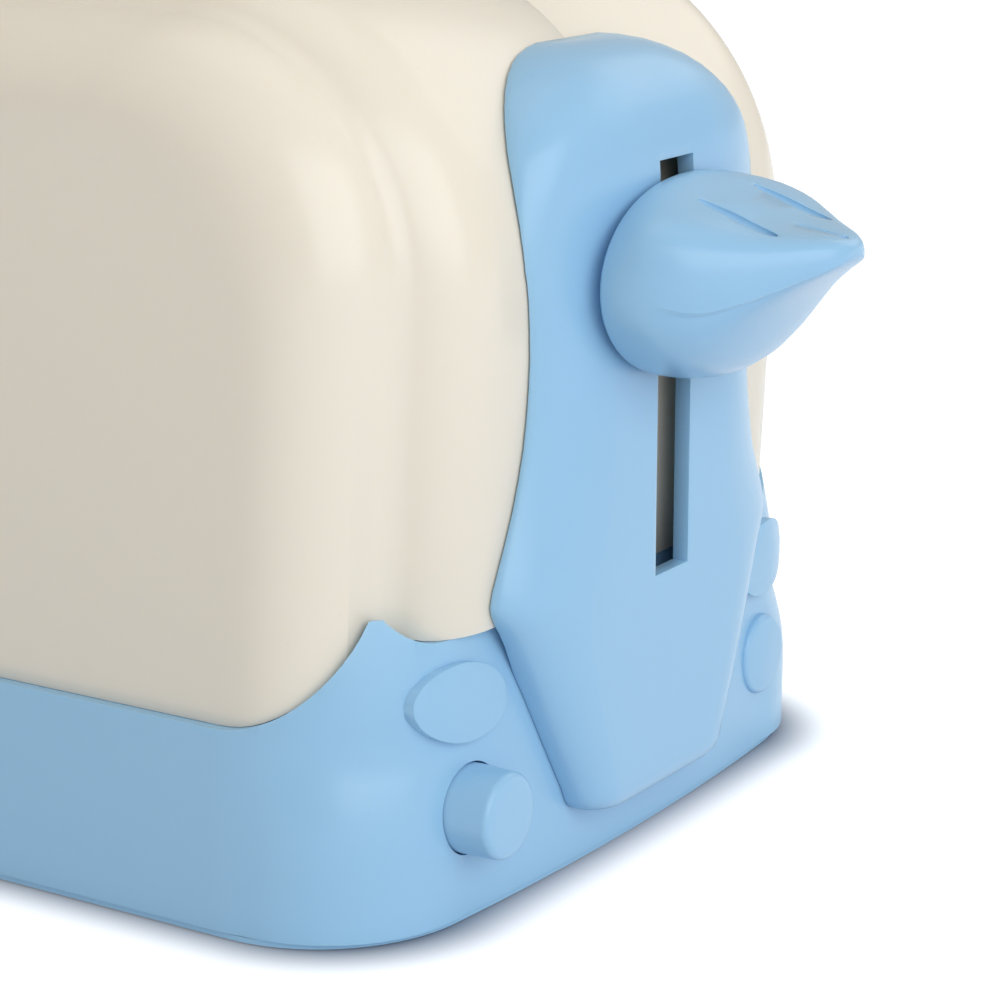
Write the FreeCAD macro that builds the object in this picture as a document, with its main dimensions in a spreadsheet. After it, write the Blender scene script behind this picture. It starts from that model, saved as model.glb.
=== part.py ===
import FreeCAD, Part
import math
import os
import re
from types import SimpleNamespace

import Sketcher

# Toy pop-up toaster: blue base, end panel, lever and button, cream body shaped like slices of bread.
# Millimetres. X runs along the length with the lever end at +X, Y across with the front at -Y, Z up.
# The origin is on the underside, at the middle of the base.

Vector = FreeCAD.Vector
doc = FreeCAD.newDocument("toy_toaster")
sheet = doc.addObject("Spreadsheet::Sheet", "dims")

dimensions = {
    # base: a tapering ring with bowed ends, closed below by the cover
    "slotToEnd": 31.3, "baseHalfWidth": 60.0, "baseWall": 2.2, "endBowRadius": 455.0,
    "baseCornerRadius": 21.0, "draftStart": 10.0, "draftEnd": 40.0, "draftLength": 2.4, "draftWidth": 4.0,
    "draftLengthPower": 2.0, "draftWidthPower": 1.5,
    "frontRim": 26.2, "endRim": 36.1, "rimNotch": 8.0, "rimNotchReach": 4.0, "rimCornerInset": 7.8,
    "rimCornerRadius": 17.0, "rimFlare": 2.0, "coverLip": 0.7, "coverThick": 2.4, "lipGap": 0.3,
    "lugRadius": 4.0, "lugInset": 5.2, "ledgeWidth": 13.0, "ledgeOverlap": 2.0,
    # body: the slice in the middle, and the round cheek on each side of it, moulded as two halves
    "cheekDepth": 13.0, "sliceProud": 0.4, "sliceTop": 115.4, "sliceRadius": 39.2, "sliceLean": 2.4,
    "sliceSideRound": 9.0, "sliceTopRound": 5.8, "sliceShoulder": 11.0,
    "cheekInset": 3.0, "cheekRoundDepth": 12.0, "cheekEndInset": 7.3, "cheekTop": 109.8, "cheekRadius": 29.8,
    "cheekLean": 1.5, "cheekRound": 13.0, "cheekTopRound": 11.6, "cheekTighten": 4.8,
    "cheekOverlap": 4.0, "shellWall": 2.2, "seamGap": 0.3, "seatGap": 0.1, "earHeight": 84.0,
    "earLowHeight": 50.0, "earDepth": 6.0, "earBack": 6.5,
    # bread slots and the wells below them
    "slotHalfLength": 57.0, "slotWidth": 18.0, "slotOffset": 15.5, "wellMargin": 1.0, "wellWall": 1.2,
    "wellHeadroom": 0.5, "wellEndGap": 3.0, "armSlotWidth": 5.0,
    # end panel
    "panelProud": 5.0, "panelTop": 104.7, "panelBottom": 7.6, "panelFootHalf": 17.5, "panelKinkHalf": 34.4,
    "panelKinkHeight": 39.4, "panelWaistHalf": 27.2, "panelWaistHeight": 60.0, "panelFootRadius": 5.0,
    "panelKinkRadius": 9.0, "panelWaistRadius": 30.0, "panelTopRadius": 20.0, "panelCrown": 14.0,
    "panelEdge": 4.4, "panelWall": 2.2, "leverSlotWidth": 8.5, "leverSlotBelow": 0.6, "leverSlotAbove": 6.7,
    # lever, carriage, rods and bread cradles
    "leverTravel": 31.5, "stemWidth": 7.5, "stemDrop": 46.4, "stemHeight": 15.0, "stemReach": 10.0,
    "carriageGap": 4.3, "carriageBack": 6.0, "carriageHalfWidth": 21.0, "sideArmHeight": 4.0,
    "sideArmInset": 3.1, "sideArmPast": 2.7, "rodReach": 19.0, "rodOffset": 14.0, "rodRadius": 2.0,
    "rodFit": 0.05, "rodSocket": 1.6, "bridgeThick": 3.0, "bridgeHalfWidth": 29.0, "bridgeHalfDepth": 5.5,
    "stopGap": 0.3, "cradleWidth": 13.0, "cradleThick": 2.5, "cradleGap": 3.0, "armWidth": 4.0,
    "armHeight": 8.5, "armInset": 5.0, "cradleScrewInset": 2.7,
    "knobHalfWidth": 21.0, "knobHalfHeight": 13.3, "knobLift": 7.3, "knobRise": 3.4, "knobSlope": 9.6,
    "knobReach": 25.9, "knobWidthPower": 2.4, "knobChinPower": 2.1, "knobSquare": 2.5, "knobTipHalf": 1.0,
    "knobSteps": 12.0, "knobSides": 48.0, "knobGap": 0.7, "stemFit": 0.1,
    # springs
    "liftCoilRadius": 3.4, "liftWire": 0.45, "liftTurns": 9.0, "buttonCoilRadius": 4.0,
    "buttonWire": 0.35, "buttonTurns": 4.0, "wireSides": 12.0,
    # release button and catch
    "buttonInset": 22.3, "buttonHeight": 14.3, "buttonRadius": 5.6, "buttonFit": 0.15, "buttonProud": 5.6,
    "buttonTaper": 0.3, "buttonRimRound": 0.9, "flangeRadius": 6.4, "flangeThick": 1.6,
    "plungerRadius": 2.5, "buttonTravel": 3.5, "guideInset": 5.0, "guideThick": 1.8, "guideHalfWidth": 6.0,
    "guideHang": 5.0, "hookReach": 11.0, "hookThick": 4.0, "hookHalfWidth": 3.0, "hookNose": 3.0,
    "hookNoseThick": 2.4, "hookSocket": 2.5, "tongueThick": 0.6, "tongueHalfWidth": 2.4, "tongueGap": 0.4,
    "tongueCatch": 1.2, "tongueSeat": 6.0,
    # moulded pads on the base ends
    "padHalfWidth": 8.6, "padHalfHeight": 5.1, "padInset": 21.0, "padHeight": 28.5, "padSunk": 1.55,
    "discRaise": 0.6,
    # chassis and screws
    "chassisLow": 24.0, "chassisThick": 2.0, "chassisGap": 0.4, "bossRadius": 4.0, "bossX": 40.0,
    "bossInset": 2.0, "bossTop": 44.0, "screwRadius": 1.4, "headRadius": 2.7, "headThick": 1.5,
    "screwLength": 8.0, "pilotFit": 0.05, "holeFit": 0.3, "recess": 0.3, "crossWidth": 0.7,
    "crossLength": 3.2, "crossDepth": 0.8, "panelScrewOffset": 19.0, "panelScrewHeight": 58.0,
    "panelScrewLength": 5.6, "bridgeScrewOffset": 25.0, "cradleScrewLength": 10.0, "cradleScrewScale": 0.7,
}
for row, (alias, value) in enumerate(dimensions.items(), start=1):
    sheet.set("A%d" % row, alias)
    sheet.set("B%d" % row, str(value))
    sheet.setAlias("B%d" % row, alias)
doc.recompute()
size = SimpleNamespace(**{alias: float(sheet.get(alias)) for alias in dimensions})

# places that follow from the sizes: what lines up with another piece is reckoned from it
ties = {
    "baseHalfLength": "slotHalfLength + slotToEnd", "sliceSide": "baseHalfLength + sliceProud",
    "cheekSide": "baseHalfLength - cheekEndInset", "rimCornerSide": "baseHalfLength - rimCornerInset",
    "padFace": "baseHalfLength - padSunk", "panelFace": "baseHalfLength + panelProud",
    "knobTip": "panelFace + knobReach", "cheekFace": "baseHalfWidth - cheekInset",
    "sliceHalfWidth": "cheekFace - cheekDepth", "rimNotchHalf": "sliceHalfWidth + rimNotchReach",
    "padOffset": "baseHalfWidth - padInset", "buttonOffset": "baseHalfWidth - buttonInset",
    "rodX": "slotHalfLength + rodReach", "carriageEnd": "rodX + carriageBack",
    "carriageStart": "slotHalfLength + wellEndGap + wellWall + carriageGap",
    "sideArmStart": "carriageStart + sideArmInset", "sideArmReach": "buttonOffset + sideArmPast",
    "cradleHalfLength": "slotHalfLength - cradleGap", "armEnd": "rodX - armInset",
    "cradleScrewX": "carriageStart + cradleScrewInset", "guideX": "rodX - guideInset",
    "hookStart": "guideX - hookReach", "tongueTip": "hookStart + hookThick + tongueCatch",
    "stemLow": "sliceTop - stemDrop", "knobHeight": "stemLow + knobLift",
    "leverSlotLow": "stemLow - leverTravel - leverSlotBelow",
    "leverSlotHigh": "stemLow + stemHeight + leverSlotAbove",
}


def total(text):
    # the sum of the named sizes in a text such as "rodX - armInset"
    sign = 1
    result = 0.0
    for word in text.split():
        if word in ("+", "-"):
            sign = 1 if word == "+" else -1
        else:
            result += sign * getattr(size, word)
    return result


for tied, text in ties.items():
    setattr(size, tied, total(text))

SIDES = {"front": -1, "rear": 1}


# ---------------------------------------------------------------- objects bound to the sheet

def bound(text):
    # an expression written with the plain names of the sheet's cells and of the tied places
    def cell(found):
        word = found.group(0)
        if word in ties:
            return "(" + bound(ties[word]) + ")"
        return word if word == "sqrt" else "dims." + word
    return re.sub(r"[A-Za-z]\w*", cell, str(text))


def bind(item, **expressions):
    for name, text in expressions.items():
        item.setExpression(name.replace("_", "."), bound(text))
    return item


def place(item, x="0", y="0", z="0"):
    return bind(item, Placement_Base_x=x, Placement_Base_y=y, Placement_Base_z=z)


def block(low, high):
    item = doc.addObject("Part::Box", "block")
    lengths = ["(%s) - (%s)" % pair for pair in zip(high, low)]
    bind(item, Length=lengths[0], Width=lengths[1], Height=lengths[2])
    return place(item, *low)


TURN = {"+x": FreeCAD.Rotation(Vector(0, 1, 0), 90), "-x": FreeCAD.Rotation(Vector(0, 1, 0), -90),
        "+y": FreeCAD.Rotation(Vector(1, 0, 0), -90), "-y": FreeCAD.Rotation(Vector(1, 0, 0), 90),
        "+z": FreeCAD.Rotation(), "-z": FreeCAD.Rotation(Vector(1, 0, 0), 180)}


def drum(way, start, radius, length):
    # a round bar that begins at the point start and runs the way that is named
    item = doc.addObject("Part::Cylinder", "drum")
    item.Placement = FreeCAD.Placement(Vector(), TURN[way])
    bind(item, Radius=radius, Height=length)
    return place(item, *start)


def joined(items):
    if len(items) == 1:
        return items[0]
    item = doc.addObject("Part::MultiFuse", "joined")
    item.Shapes = items
    return item


def cut(base, tools):
    item = doc.addObject("Part::Cut", "cut")
    item.Base = base
    item.Tool = joined(tools)
    return item


def outlineSketch(body, role, corners, offset="0"):
    # a closed outline: each corner is held by its two distances from the origin
    sketch = body.newObject("Sketcher::SketchObject", body.Name + "_outline")
    plane = [feature for feature in body.Origin.OriginFeatures if feature.Role == role][0]
    sketch.AttachmentSupport = (plane, [""])
    sketch.MapMode = "FlatFace"
    bind(sketch, AttachmentOffset_Base_z=offset)
    count = len(corners)
    start = [Vector(math.cos(math.tau * i / count), math.sin(math.tau * i / count), 0) for i in range(count)]
    for i in range(count):
        sketch.addGeometry(Part.LineSegment(start[i], start[(i + 1) % count]))
    for i in range(count):
        sketch.addConstraint(Sketcher.Constraint("Coincident", i, 2, (i + 1) % count, 1))
    for i, corner in enumerate(corners):
        for kind, text in zip(("DistanceX", "DistanceY"), corner):
            number = sketch.addConstraint(Sketcher.Constraint(kind, -1, 1, i, 1, 1.0))
            sketch.setExpression("Constraints[%d]" % number, bound(text))
    return sketch


def padded(name, role, corners, thick, offset="0", middle=True):
    body = doc.addObject("PartDesign::Body", name)
    sketch = outlineSketch(body, role, corners, offset)
    pad = body.newObject("PartDesign::Pad", name + "_pad")
    pad.Profile = sketch
    pad.Midplane = middle
    bind(pad, Length=thick)
    return body


def turned(name, corners):
    # a body of revolution about the X axis, from its half profile of (x, radius) corners
    body = doc.addObject("PartDesign::Body", name)
    sketch = outlineSketch(body, "XZ_Plane", corners)
    axis = [feature for feature in body.Origin.OriginFeatures if feature.Role == "X_Axis"][0]
    spin = body.newObject("PartDesign::Revolution", name + "_turn")
    spin.Profile = sketch
    spin.ReferenceAxis = (axis, [""])
    spin.Angle = 360
    return body


def screw(way, seat, length="screwLength", scale="1"):
    # a pan-head screw: seat is the middle of the head's underside, and the shank runs the way named
    back = {"+": "-", "-": "+"}[way[0]] + way[1]
    shank = drum(way, seat, "screwRadius * (%s)" % scale, length)
    head = drum(back, seat, "headRadius * (%s)" % scale, "headThick * (%s)" % scale)
    axis = "xyz".index(way[1])
    sign = {"+": "-", "-": "+"}[way[0]]
    faceAt = "(%s) %s headThick * (%s)" % (seat[axis], sign, scale)
    cross = []
    for long in range(3):
        if long == axis:
            continue
        half = ["crossWidth / 2 * (%s)" % scale] * 3
        half[long] = "crossLength / 2 * (%s)" % scale
        half[axis] = "crossDepth * (%s)" % scale
        centre = list(seat)
        centre[axis] = faceAt
        low = ["(%s) - %s" % pair for pair in zip(centre, half)]
        high = ["(%s) + %s" % pair for pair in zip(centre, half)]
        cross.append(block(low, high))
    return cut(joined([shank, head]), cross)


def screwGroup(label, screws):
    item = doc.addObject("Part::Compound", label)
    item.Links = screws
    return keep(label, item)


kept = {}


def keep(label, item):
    # a sub-part that is written out under its own label
    item.Label = label
    kept[label] = item
    return item


def formed(label, shape):
    # a sculpted sub-part, whose shape is worked out from the sheet's sizes below
    item = doc.addObject("Part::Feature", label)
    item.Shape = shape
    return keep(label, item)


# ---------------------------------------------------------------- forms worked out from the sizes

def mirrorX(point):
    return Vector(-point.x, point.y, point.z)


def arc(first, middle, last):
    return Part.Arc(first, middle, last).toShape()


def line(first, last):
    return Part.LineSegment(first, last).toShape()


def baseWire(height, inset):
    # the base's outline at one height, moved inwards by inset: straight sides, bowed ends, round corners
    rise = max(0.0, (height - size.draftStart) / (size.draftEnd - size.draftStart))
    halfLength = size.baseHalfLength - size.draftLength * rise ** size.draftLengthPower - inset
    halfWidth = size.baseHalfWidth - size.draftWidth * rise ** size.draftWidthPower - inset
    bow = size.endBowRadius - inset
    corner = size.baseCornerRadius - inset
    cornerY = halfWidth - corner
    bowX = halfLength - bow
    cornerX = bowX + math.sqrt((bow - corner) ** 2 - cornerY ** 2)
    turn = math.atan2(cornerY, cornerX - bowX)
    edges = []

    def at(angle, xSign, ySign):
        return Vector(xSign * (cornerX + corner * math.cos(angle)),
                      ySign * (cornerY + corner * math.sin(angle)), height)

    middle = (turn + math.pi / 2) / 2
    for xSign, ySign in ((1, 1), (-1, -1)):
        tip = Vector(xSign * halfLength, 0, height)
        edges.append(arc(at(turn, xSign, -ySign), tip, at(turn, xSign, ySign)))
        edges.append(arc(at(turn, xSign, ySign), at(middle, xSign, ySign), at(math.pi / 2, xSign, ySign)))
        edges.append(line(at(math.pi / 2, xSign, ySign), at(math.pi / 2, -xSign, ySign)))
        edges.append(arc(at(math.pi / 2, -xSign, ySign), at(middle, -xSign, ySign), at(turn, -xSign, ySign)))
    return Part.Wire(edges)


def baseForm(inset, low, high):
    # the base's tapering form between two heights
    steps = 5
    heights = [low + (high - low) * step / steps for step in range(steps + 1)]
    return Part.makeLoft([baseWire(height, inset) for height in heights], True, True)


def slab(wire, way, length):
    return Part.Face(wire).extrude(Vector(*way) * length)


def breadWire(y, side, top, radius, bottom, low, lean):
    # one bread-slice outline: low corners, leaning sides and a round arch corner each side of a flat top
    archX, archZ = side - radius, top - radius
    lowX, lowZ = side - lean - low, bottom + low
    slant = math.sqrt(0.5)
    right = [Vector(lowX, y, bottom), Vector(lowX + low * slant, y, lowZ - low * slant),
             Vector(side - lean, y, lowZ), Vector(side, y, archZ),
             Vector(archX + radius * slant, y, archZ + radius * slant), Vector(archX, y, top)]
    left = [mirrorX(point) for point in right]
    return Part.Wire([line(left[0], right[0]), arc(*right[0:3]), line(*right[2:4]), arc(*right[3:6]),
                      line(right[5], left[5]), arc(left[5], left[4], left[3]), line(left[3], left[2]),
                      arc(left[2], left[1], left[0])])


def shoulder(steps=6):
    # how far the rounding has come in, and how far out it has gone, both as shares, along a quarter turn
    angles = [math.pi / 2 * step / steps for step in range(steps + 1)]
    return [(1 - math.cos(angle), math.sin(angle)) for angle in angles]


def sliceForm(wall, bottom):
    # the middle slice, rounded towards both cheeks; wall moves its faces inwards
    halfWidth = size.sliceHalfWidth - wall
    flat = halfWidth - size.sliceShoulder
    sections = [(flat + size.sliceShoulder * out, size.sliceSideRound * share, size.sliceTopRound * share)
                for share, out in shoulder()]
    wires = []
    for y, sideIn, topIn in [(-y, a, b) for y, a, b in reversed(sections)] + sections:
        wires.append(breadWire(y, size.sliceSide - sideIn - wall, size.sliceTop - topIn - wall,
                               size.sliceRadius - (sideIn + topIn) / 2 - wall, bottom,
                               size.seatGap, size.sliceLean))
    return Part.makeLoft(wires, True, True)


def cheekForm(sign, wall, bottom):
    # one cheek, from inside the slice out to its flat face; wall moves its faces inwards
    flat = size.cheekFace - size.cheekRoundDepth
    depth = size.cheekRoundDepth - wall
    sections = [(size.sliceHalfWidth - size.cheekOverlap, 0.0)]
    sections += [(flat + depth * out, share) for share, out in shoulder()]
    wires = [breadWire(sign * y, size.cheekSide - size.cheekRound * share - wall,
                       size.cheekTop - size.cheekTopRound * share - wall,
                       size.cheekRadius - size.cheekTighten * share - wall, bottom,
                       size.seatGap, size.cheekLean)
             for y, share in sections]
    return Part.makeLoft(wires, True, True)


def roundedWire(corners):
    # a closed outline in the YZ plane at x = 0 from (y, z, corner radius), each corner a tangent arc
    count = len(corners)
    edges = []
    ends = []
    for i in range(count):
        before, here, after = (Vector(0, *corners[(i + k) % count][:2]) for k in (-1, 0, 1))
        toBefore = (before - here).normalize()
        toAfter = (after - here).normalize()
        half = toBefore.getAngle(toAfter) / 2
        radius = corners[i][2]
        reach = radius / math.tan(half)
        first, last = here + toBefore * reach, here + toAfter * reach
        inwards = (toBefore + toAfter).normalize()
        middle = here + inwards * (radius / math.sin(half) - radius)
        ends.append((first, last))
        edges.append(arc(first, middle, last))
    sides = [line(ends[i][1], ends[(i + 1) % count][0]) for i in range(count)]
    return Part.Wire([edge for pair in zip(edges, sides) for edge in pair])


def panelForm(inset, back, face):
    # the end panel's shield-like outline carried along X, its front edge and its crown rounded
    foot, kink, waist = size.panelFootHalf - inset, size.panelKinkHalf - inset, size.panelWaistHalf - inset
    low, high = size.panelBottom + inset, size.panelTop - inset
    half = [(foot, low, size.panelFootRadius - inset),
            (kink, size.panelKinkHeight, size.panelKinkRadius - inset),
            (waist, size.panelWaistHeight, size.panelWaistRadius + inset),
            (waist, high, size.panelTopRadius - inset)]
    wire = roundedWire(half + [(-y, z, radius) for y, z, radius in reversed(half)])
    wire.translate(Vector(back, 0, 0))
    form = slab(wire, (1, 0, 0), face - back)
    front = [edge for edge in form.Edges if edge.BoundBox.XMin > face - size.seatGap]
    form = form.makeFillet(size.panelEdge - inset if inset < size.panelEdge else size.seatGap, front)
    crown = size.panelCrown - inset
    start = (face - crown, -kink, high - crown)
    above = brick(start, (far, kink, far)).cut(bar(start, (0, 1, 0), crown, 2 * kink))
    return form.cut(above)


def bar(start, way, radius, length):
    return Part.makeCylinder(radius, length, Vector(*start), Vector(*way))


def brick(low, high):
    return Part.makeBox(*[b - a for a, b in zip(low, high)], Vector(*low))


def tray(*shapes):
    return shapes[0].multiFuse(list(shapes[1:]))


# ---------------------------------------------------------------- shared places

sliceBottom = size.endRim + size.seamGap
chassisTop = size.chassisLow + size.chassisThick
far = 2 * size.knobTip
cornerY = size.baseHalfWidth - size.baseCornerRadius
lugReach = (size.baseCornerRadius - size.baseWall - size.lugInset) * math.sqrt(0.5)
cornerX = (size.baseHalfLength - size.endBowRadius
           + math.sqrt((size.endBowRadius - size.baseCornerRadius) ** 2 - cornerY ** 2))
lugX, lugY = cornerX + lugReach, cornerY + lugReach
LUG_X = ("(baseHalfLength - endBowRadius + sqrt((endBowRadius - baseCornerRadius) ^ 2"
         " - (baseHalfWidth - baseCornerRadius) ^ 2)"
         " + (baseCornerRadius - baseWall - lugInset) * sqrt(0.5))")
LUG_Y = "(baseHalfWidth - baseCornerRadius + (baseCornerRadius - baseWall - lugInset) * sqrt(0.5))"
CHASSIS_TOP = "(chassisLow + chassisThick)"
SEAT = "(chassisLow + chassisThick + seatGap)"
lugLow = size.coverThick + size.seatGap
bossY = size.cheekFace - size.shellWall - size.bossRadius - size.bossInset
pilot = size.screwRadius + size.pilotFit
passing = size.screwRadius + size.holeFit
headRoom = size.headRadius + size.holeFit
corners4 = [(a, b) for a in (-1, 1) for b in (-1, 1)]


# ---------------------------------------------------------------- base

def endRoom(gap):
    # the room above the base's rim at the two ends, for the middle slice
    half = size.rimNotchHalf - gap
    low = size.endRim + gap
    wire = roundedWire([(-half, low, size.rimNotch), (half, low, size.rimNotch), (half, far, size.seatGap),
                        (-half, far, size.seatGap)])
    wire.translate(Vector(-far, 0, 0))
    return slab(wire, (1, 0, 0), 2 * far)


def sideRoom(sign, gap):
    # the room above the base's rim along one side, for a cheek, with round lower corners
    outline = breadWire(sign * (size.sliceHalfWidth + gap / 2), size.rimCornerSide + size.rimFlare - gap, far,
                        size.cheekRadius, size.frontRim + gap, size.rimCornerRadius - gap, size.rimFlare)
    return slab(outline, (0, sign, 0), far)


def baseShell():
    low, high = size.coverLip + size.lipGap, size.draftEnd
    ring = baseForm(0, low, high).cut(baseForm(size.baseWall, low - 1, high + 1))
    pads = []
    for sign in SIDES.values():
        centre = Vector(size.baseHalfLength / 2, sign * size.padOffset, size.padHeight)
        oval = Part.Ellipse(Vector(0, 0, 0), size.padHalfWidth, size.padHalfHeight).toShape()
        pad = slab(Part.Wire([oval]), (0, 0, 1), size.padFace - size.baseHalfLength / 2)
        upright = FreeCAD.Rotation(Vector(0, 1, 0), Vector(0, 0, 1), Vector(1, 0, 0))
        pad.Placement = FreeCAD.Placement(centre, upright)
        pads.append(pad)
    disc = bar((size.baseHalfLength / 2, size.buttonOffset, size.buttonHeight), (1, 0, 0), size.buttonRadius,
               size.baseHalfLength / 2 + size.discRaise - size.buttonOffset ** 2 / (2 * size.endBowRadius))
    raised = tray(ring, *[item.cut(baseForm(size.baseWall, low - 1, high + 1)) for item in pads + [disc]])
    lugs = []
    for xSign, ySign in corners4:
        for out in (0, size.lugRadius):
            lug = bar((xSign * (lugX + out), ySign * (lugY + out), lugLow), (0, 0, 1), size.lugRadius,
                      size.chassisLow - size.seatGap - lugLow)
            lugs.append(lug.common(baseForm(size.baseWall / 2, low, high)))
    ledgeLow = chassisTop + size.seatGap + size.headThick + size.recess
    ledge = baseForm(0, ledgeLow, high).cut(baseForm(size.ledgeWidth, low, high + 1))
    inner = size.sliceHalfWidth - size.ledgeOverlap
    middle = size.rimCornerSide - size.rimCornerRadius
    ledge = ledge.cut(brick((-far, -inner, 0), (far, inner, far)))
    ledge = ledge.cut(brick((-middle, -far, 0), (middle, far, far)))
    shell = tray(raised, ledge, *lugs).cut(tray(endRoom(0), sideRoom(-1, 0), sideRoom(1, 0)))
    holes = [bar((a * lugX, b * lugY, 0), (0, 0, 1), pilot, far) for a, b in corners4]
    holes.append(bar((size.baseHalfLength / 2, -size.buttonOffset, size.buttonHeight), (1, 0, 0),
                     size.buttonRadius + size.buttonFit, size.baseHalfLength))
    return shell.cut(tray(*holes))


def baseCover():
    lip = slab(baseWire(0, size.lipGap), (0, 0, 1), size.coverLip)
    step = slab(baseWire(size.coverLip, size.baseWall + size.lipGap), (0, 0, 1),
                size.coverThick - size.coverLip)
    plate = lip.fuse(step)
    holes = []
    for a, b in corners4:
        holes.append(bar((a * lugX, b * lugY, 0), (0, 0, 1), passing, far))
        holes.append(bar((a * lugX, b * lugY, 0), (0, 0, 1), headRoom, size.headThick + size.recess))
    return plate.cut(tray(*holes))


formed("base_shell", baseShell())
formed("base_cover", baseCover())
screwGroup("cover_screws", [
    screw("+z", ("(%d) * %s" % (a, LUG_X), "(%d) * %s" % (b, LUG_Y), "headThick + recess - seatGap"))
    for a, b in corners4])


# ---------------------------------------------------------------- chassis

def chassisPlate():
    outline = baseWire(size.draftEnd, size.baseWall + size.chassisGap)
    outline.translate(Vector(0, 0, size.chassisLow - size.draftEnd))
    plate = slab(outline, (0, 0, 1), size.chassisThick)
    holes = [bar((a * lugX, b * lugY, 0), (0, 0, 1), passing, far) for a, b in corners4]
    holes += [bar((a * size.bossX, b * bossY, 0), (0, 0, 1), passing, far) for a, b in corners4]
    holes += [bar((size.rodX, sign * size.rodOffset, chassisTop - size.rodSocket), (0, 0, 1),
                  size.rodRadius + size.rodFit, far) for sign in SIDES.values()]
    room = size.seamGap
    holes.append(brick((size.hookStart - size.buttonTravel - room,
                        -size.buttonOffset - size.hookHalfWidth - room, 0),
                       (size.hookStart + size.hookThick + size.hookNose + room,
                        -size.buttonOffset + size.hookHalfWidth + room, far)))
    return plate.cut(tray(*holes))


formed("chassis_plate", chassisPlate())
screwGroup("chassis_screws", [
    screw("-z", ("(%d) * %s" % (a, LUG_X), "(%d) * %s" % (b, LUG_Y), SEAT)) for a, b in corners4])
BOSS_Y = "(cheekFace - shellWall - bossRadius - bossInset)"
screwGroup("shell_screws", [
    screw("+z", ("(%d) * bossX" % a, "(%d) * %s" % (b, BOSS_Y), "chassisLow - seatGap"))
    for a, b in corners4])


# ---------------------------------------------------------------- cream shells

def innerEnd(height):
    # where the slice's end wall has its inner face, at one height
    archZ = size.sliceTop - size.sliceRadius
    share = min(1.0, max(0.0, (archZ - height) / (archZ - sliceBottom)))
    return size.sliceSide - size.sliceLean * share - size.shellWall


def bridgeLow():
    return size.stemLow + size.stemHeight + size.stopGap


def bodyShell(sign):
    # one half of the cream body: its half of the slice and its cheek, split at the middle plane
    gap = size.seamGap
    ends, side = endRoom(gap), sideRoom(sign, gap)
    cheek = cheekForm(sign, 0, size.frontRim + gap)
    outer = sliceForm(0, sliceBottom).common(ends).multiFuse([cheek.common(ends), cheek.common(side)])
    inner = sliceForm(size.shellWall, 0).fuse(cheekForm(sign, size.shellWall, 0))
    parts = [outer.cut(inner)]
    wallIn = sign * (size.cheekFace - size.shellWall / 2)
    earX = size.shellWall + size.earBack - size.sliceSide
    low = chassisTop + size.seatGap
    for a in (-1, 1):
        parts.append(bar((a * size.bossX, sign * bossY, low), (0, 0, 1), size.bossRadius, size.bossTop - low))
        ends = sorted((sign * bossY, wallIn))
        parts.append(brick((a * size.bossX - size.bossRadius, ends[0], size.frontRim + gap),
                           (a * size.bossX + size.bossRadius, ends[1], size.bossTop)))
    within = sliceForm(size.shellWall / 2, sliceBottom)
    bridgeTop = bridgeLow() + size.bridgeThick + size.seatGap
    hanger = bar((size.rodX, sign * size.bridgeScrewOffset, bridgeTop), (0, 0, 1), size.bossRadius, far)
    parts.append(hanger.common(within))
    ends = sorted((0, sign * size.earDepth))
    for height in (size.earLowHeight, size.earHeight):
        parts.append(bar((earX, 0, height), (0, sign, 0), size.bossRadius, size.earDepth))
        toWall = brick((-far, ends[0], height - size.bossRadius), (earX, ends[1], height + size.bossRadius))
        parts.append(toWall.common(within))
    openings = [brick((-far, min(0, -sign * far), -far), (far, max(0, -sign * far), far)),
                brick((-far, -size.seatGap / 2, -far), (far, size.seatGap / 2, far))]
    halfSlot = size.slotWidth / 2
    middle = sign * size.slotOffset
    openings.append(brick((-size.slotHalfLength, middle - halfSlot, size.sliceTop - 2 * size.sliceTopRound),
                          (size.slotHalfLength, middle + halfSlot, far)))
    openings.append(bar((size.rodX, sign * size.bridgeScrewOffset, bridgeTop - 1), (0, 0, 1), pilot,
                        size.screwLength - size.bridgeThick + 1))
    openings.append(bar((size.rodX, sign * size.panelScrewOffset, size.panelScrewHeight), (1, 0, 0),
                        passing, far))
    window = size.leverSlotWidth / 2 + size.holeFit
    openings.append(brick((size.rodX, -window, 0), (far, window, size.leverSlotHigh + size.holeFit)))
    for a in (-1, 1):
        openings.append(bar((a * size.bossX, sign * bossY, 0), (0, 0, 1), pilot,
                            size.chassisLow + size.screwLength))
    for height in (size.earLowHeight, size.earHeight):
        openings.append(bar((earX, 0, height), (0, sign, 0), pilot if sign < 0 else passing,
                            2 * size.earDepth))
    return parts[0].multiFuse(parts[1:]).cut(tray(*openings))


for side, sign in SIDES.items():
    formed(side + "_shell", bodyShell(sign))


screwGroup("seam_screws", [
    screw("-y", ("-(sliceSide - shellWall - earBack)", "earDepth + seatGap", height))
    for height in ("earLowHeight", "earHeight")])


# ---------------------------------------------------------------- end panel

def panelSeat():
    # the inner face of the slice's end wall, at the low side of a panel screw's head
    return innerEnd(size.panelScrewHeight - size.headRadius) - size.seatGap


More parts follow.
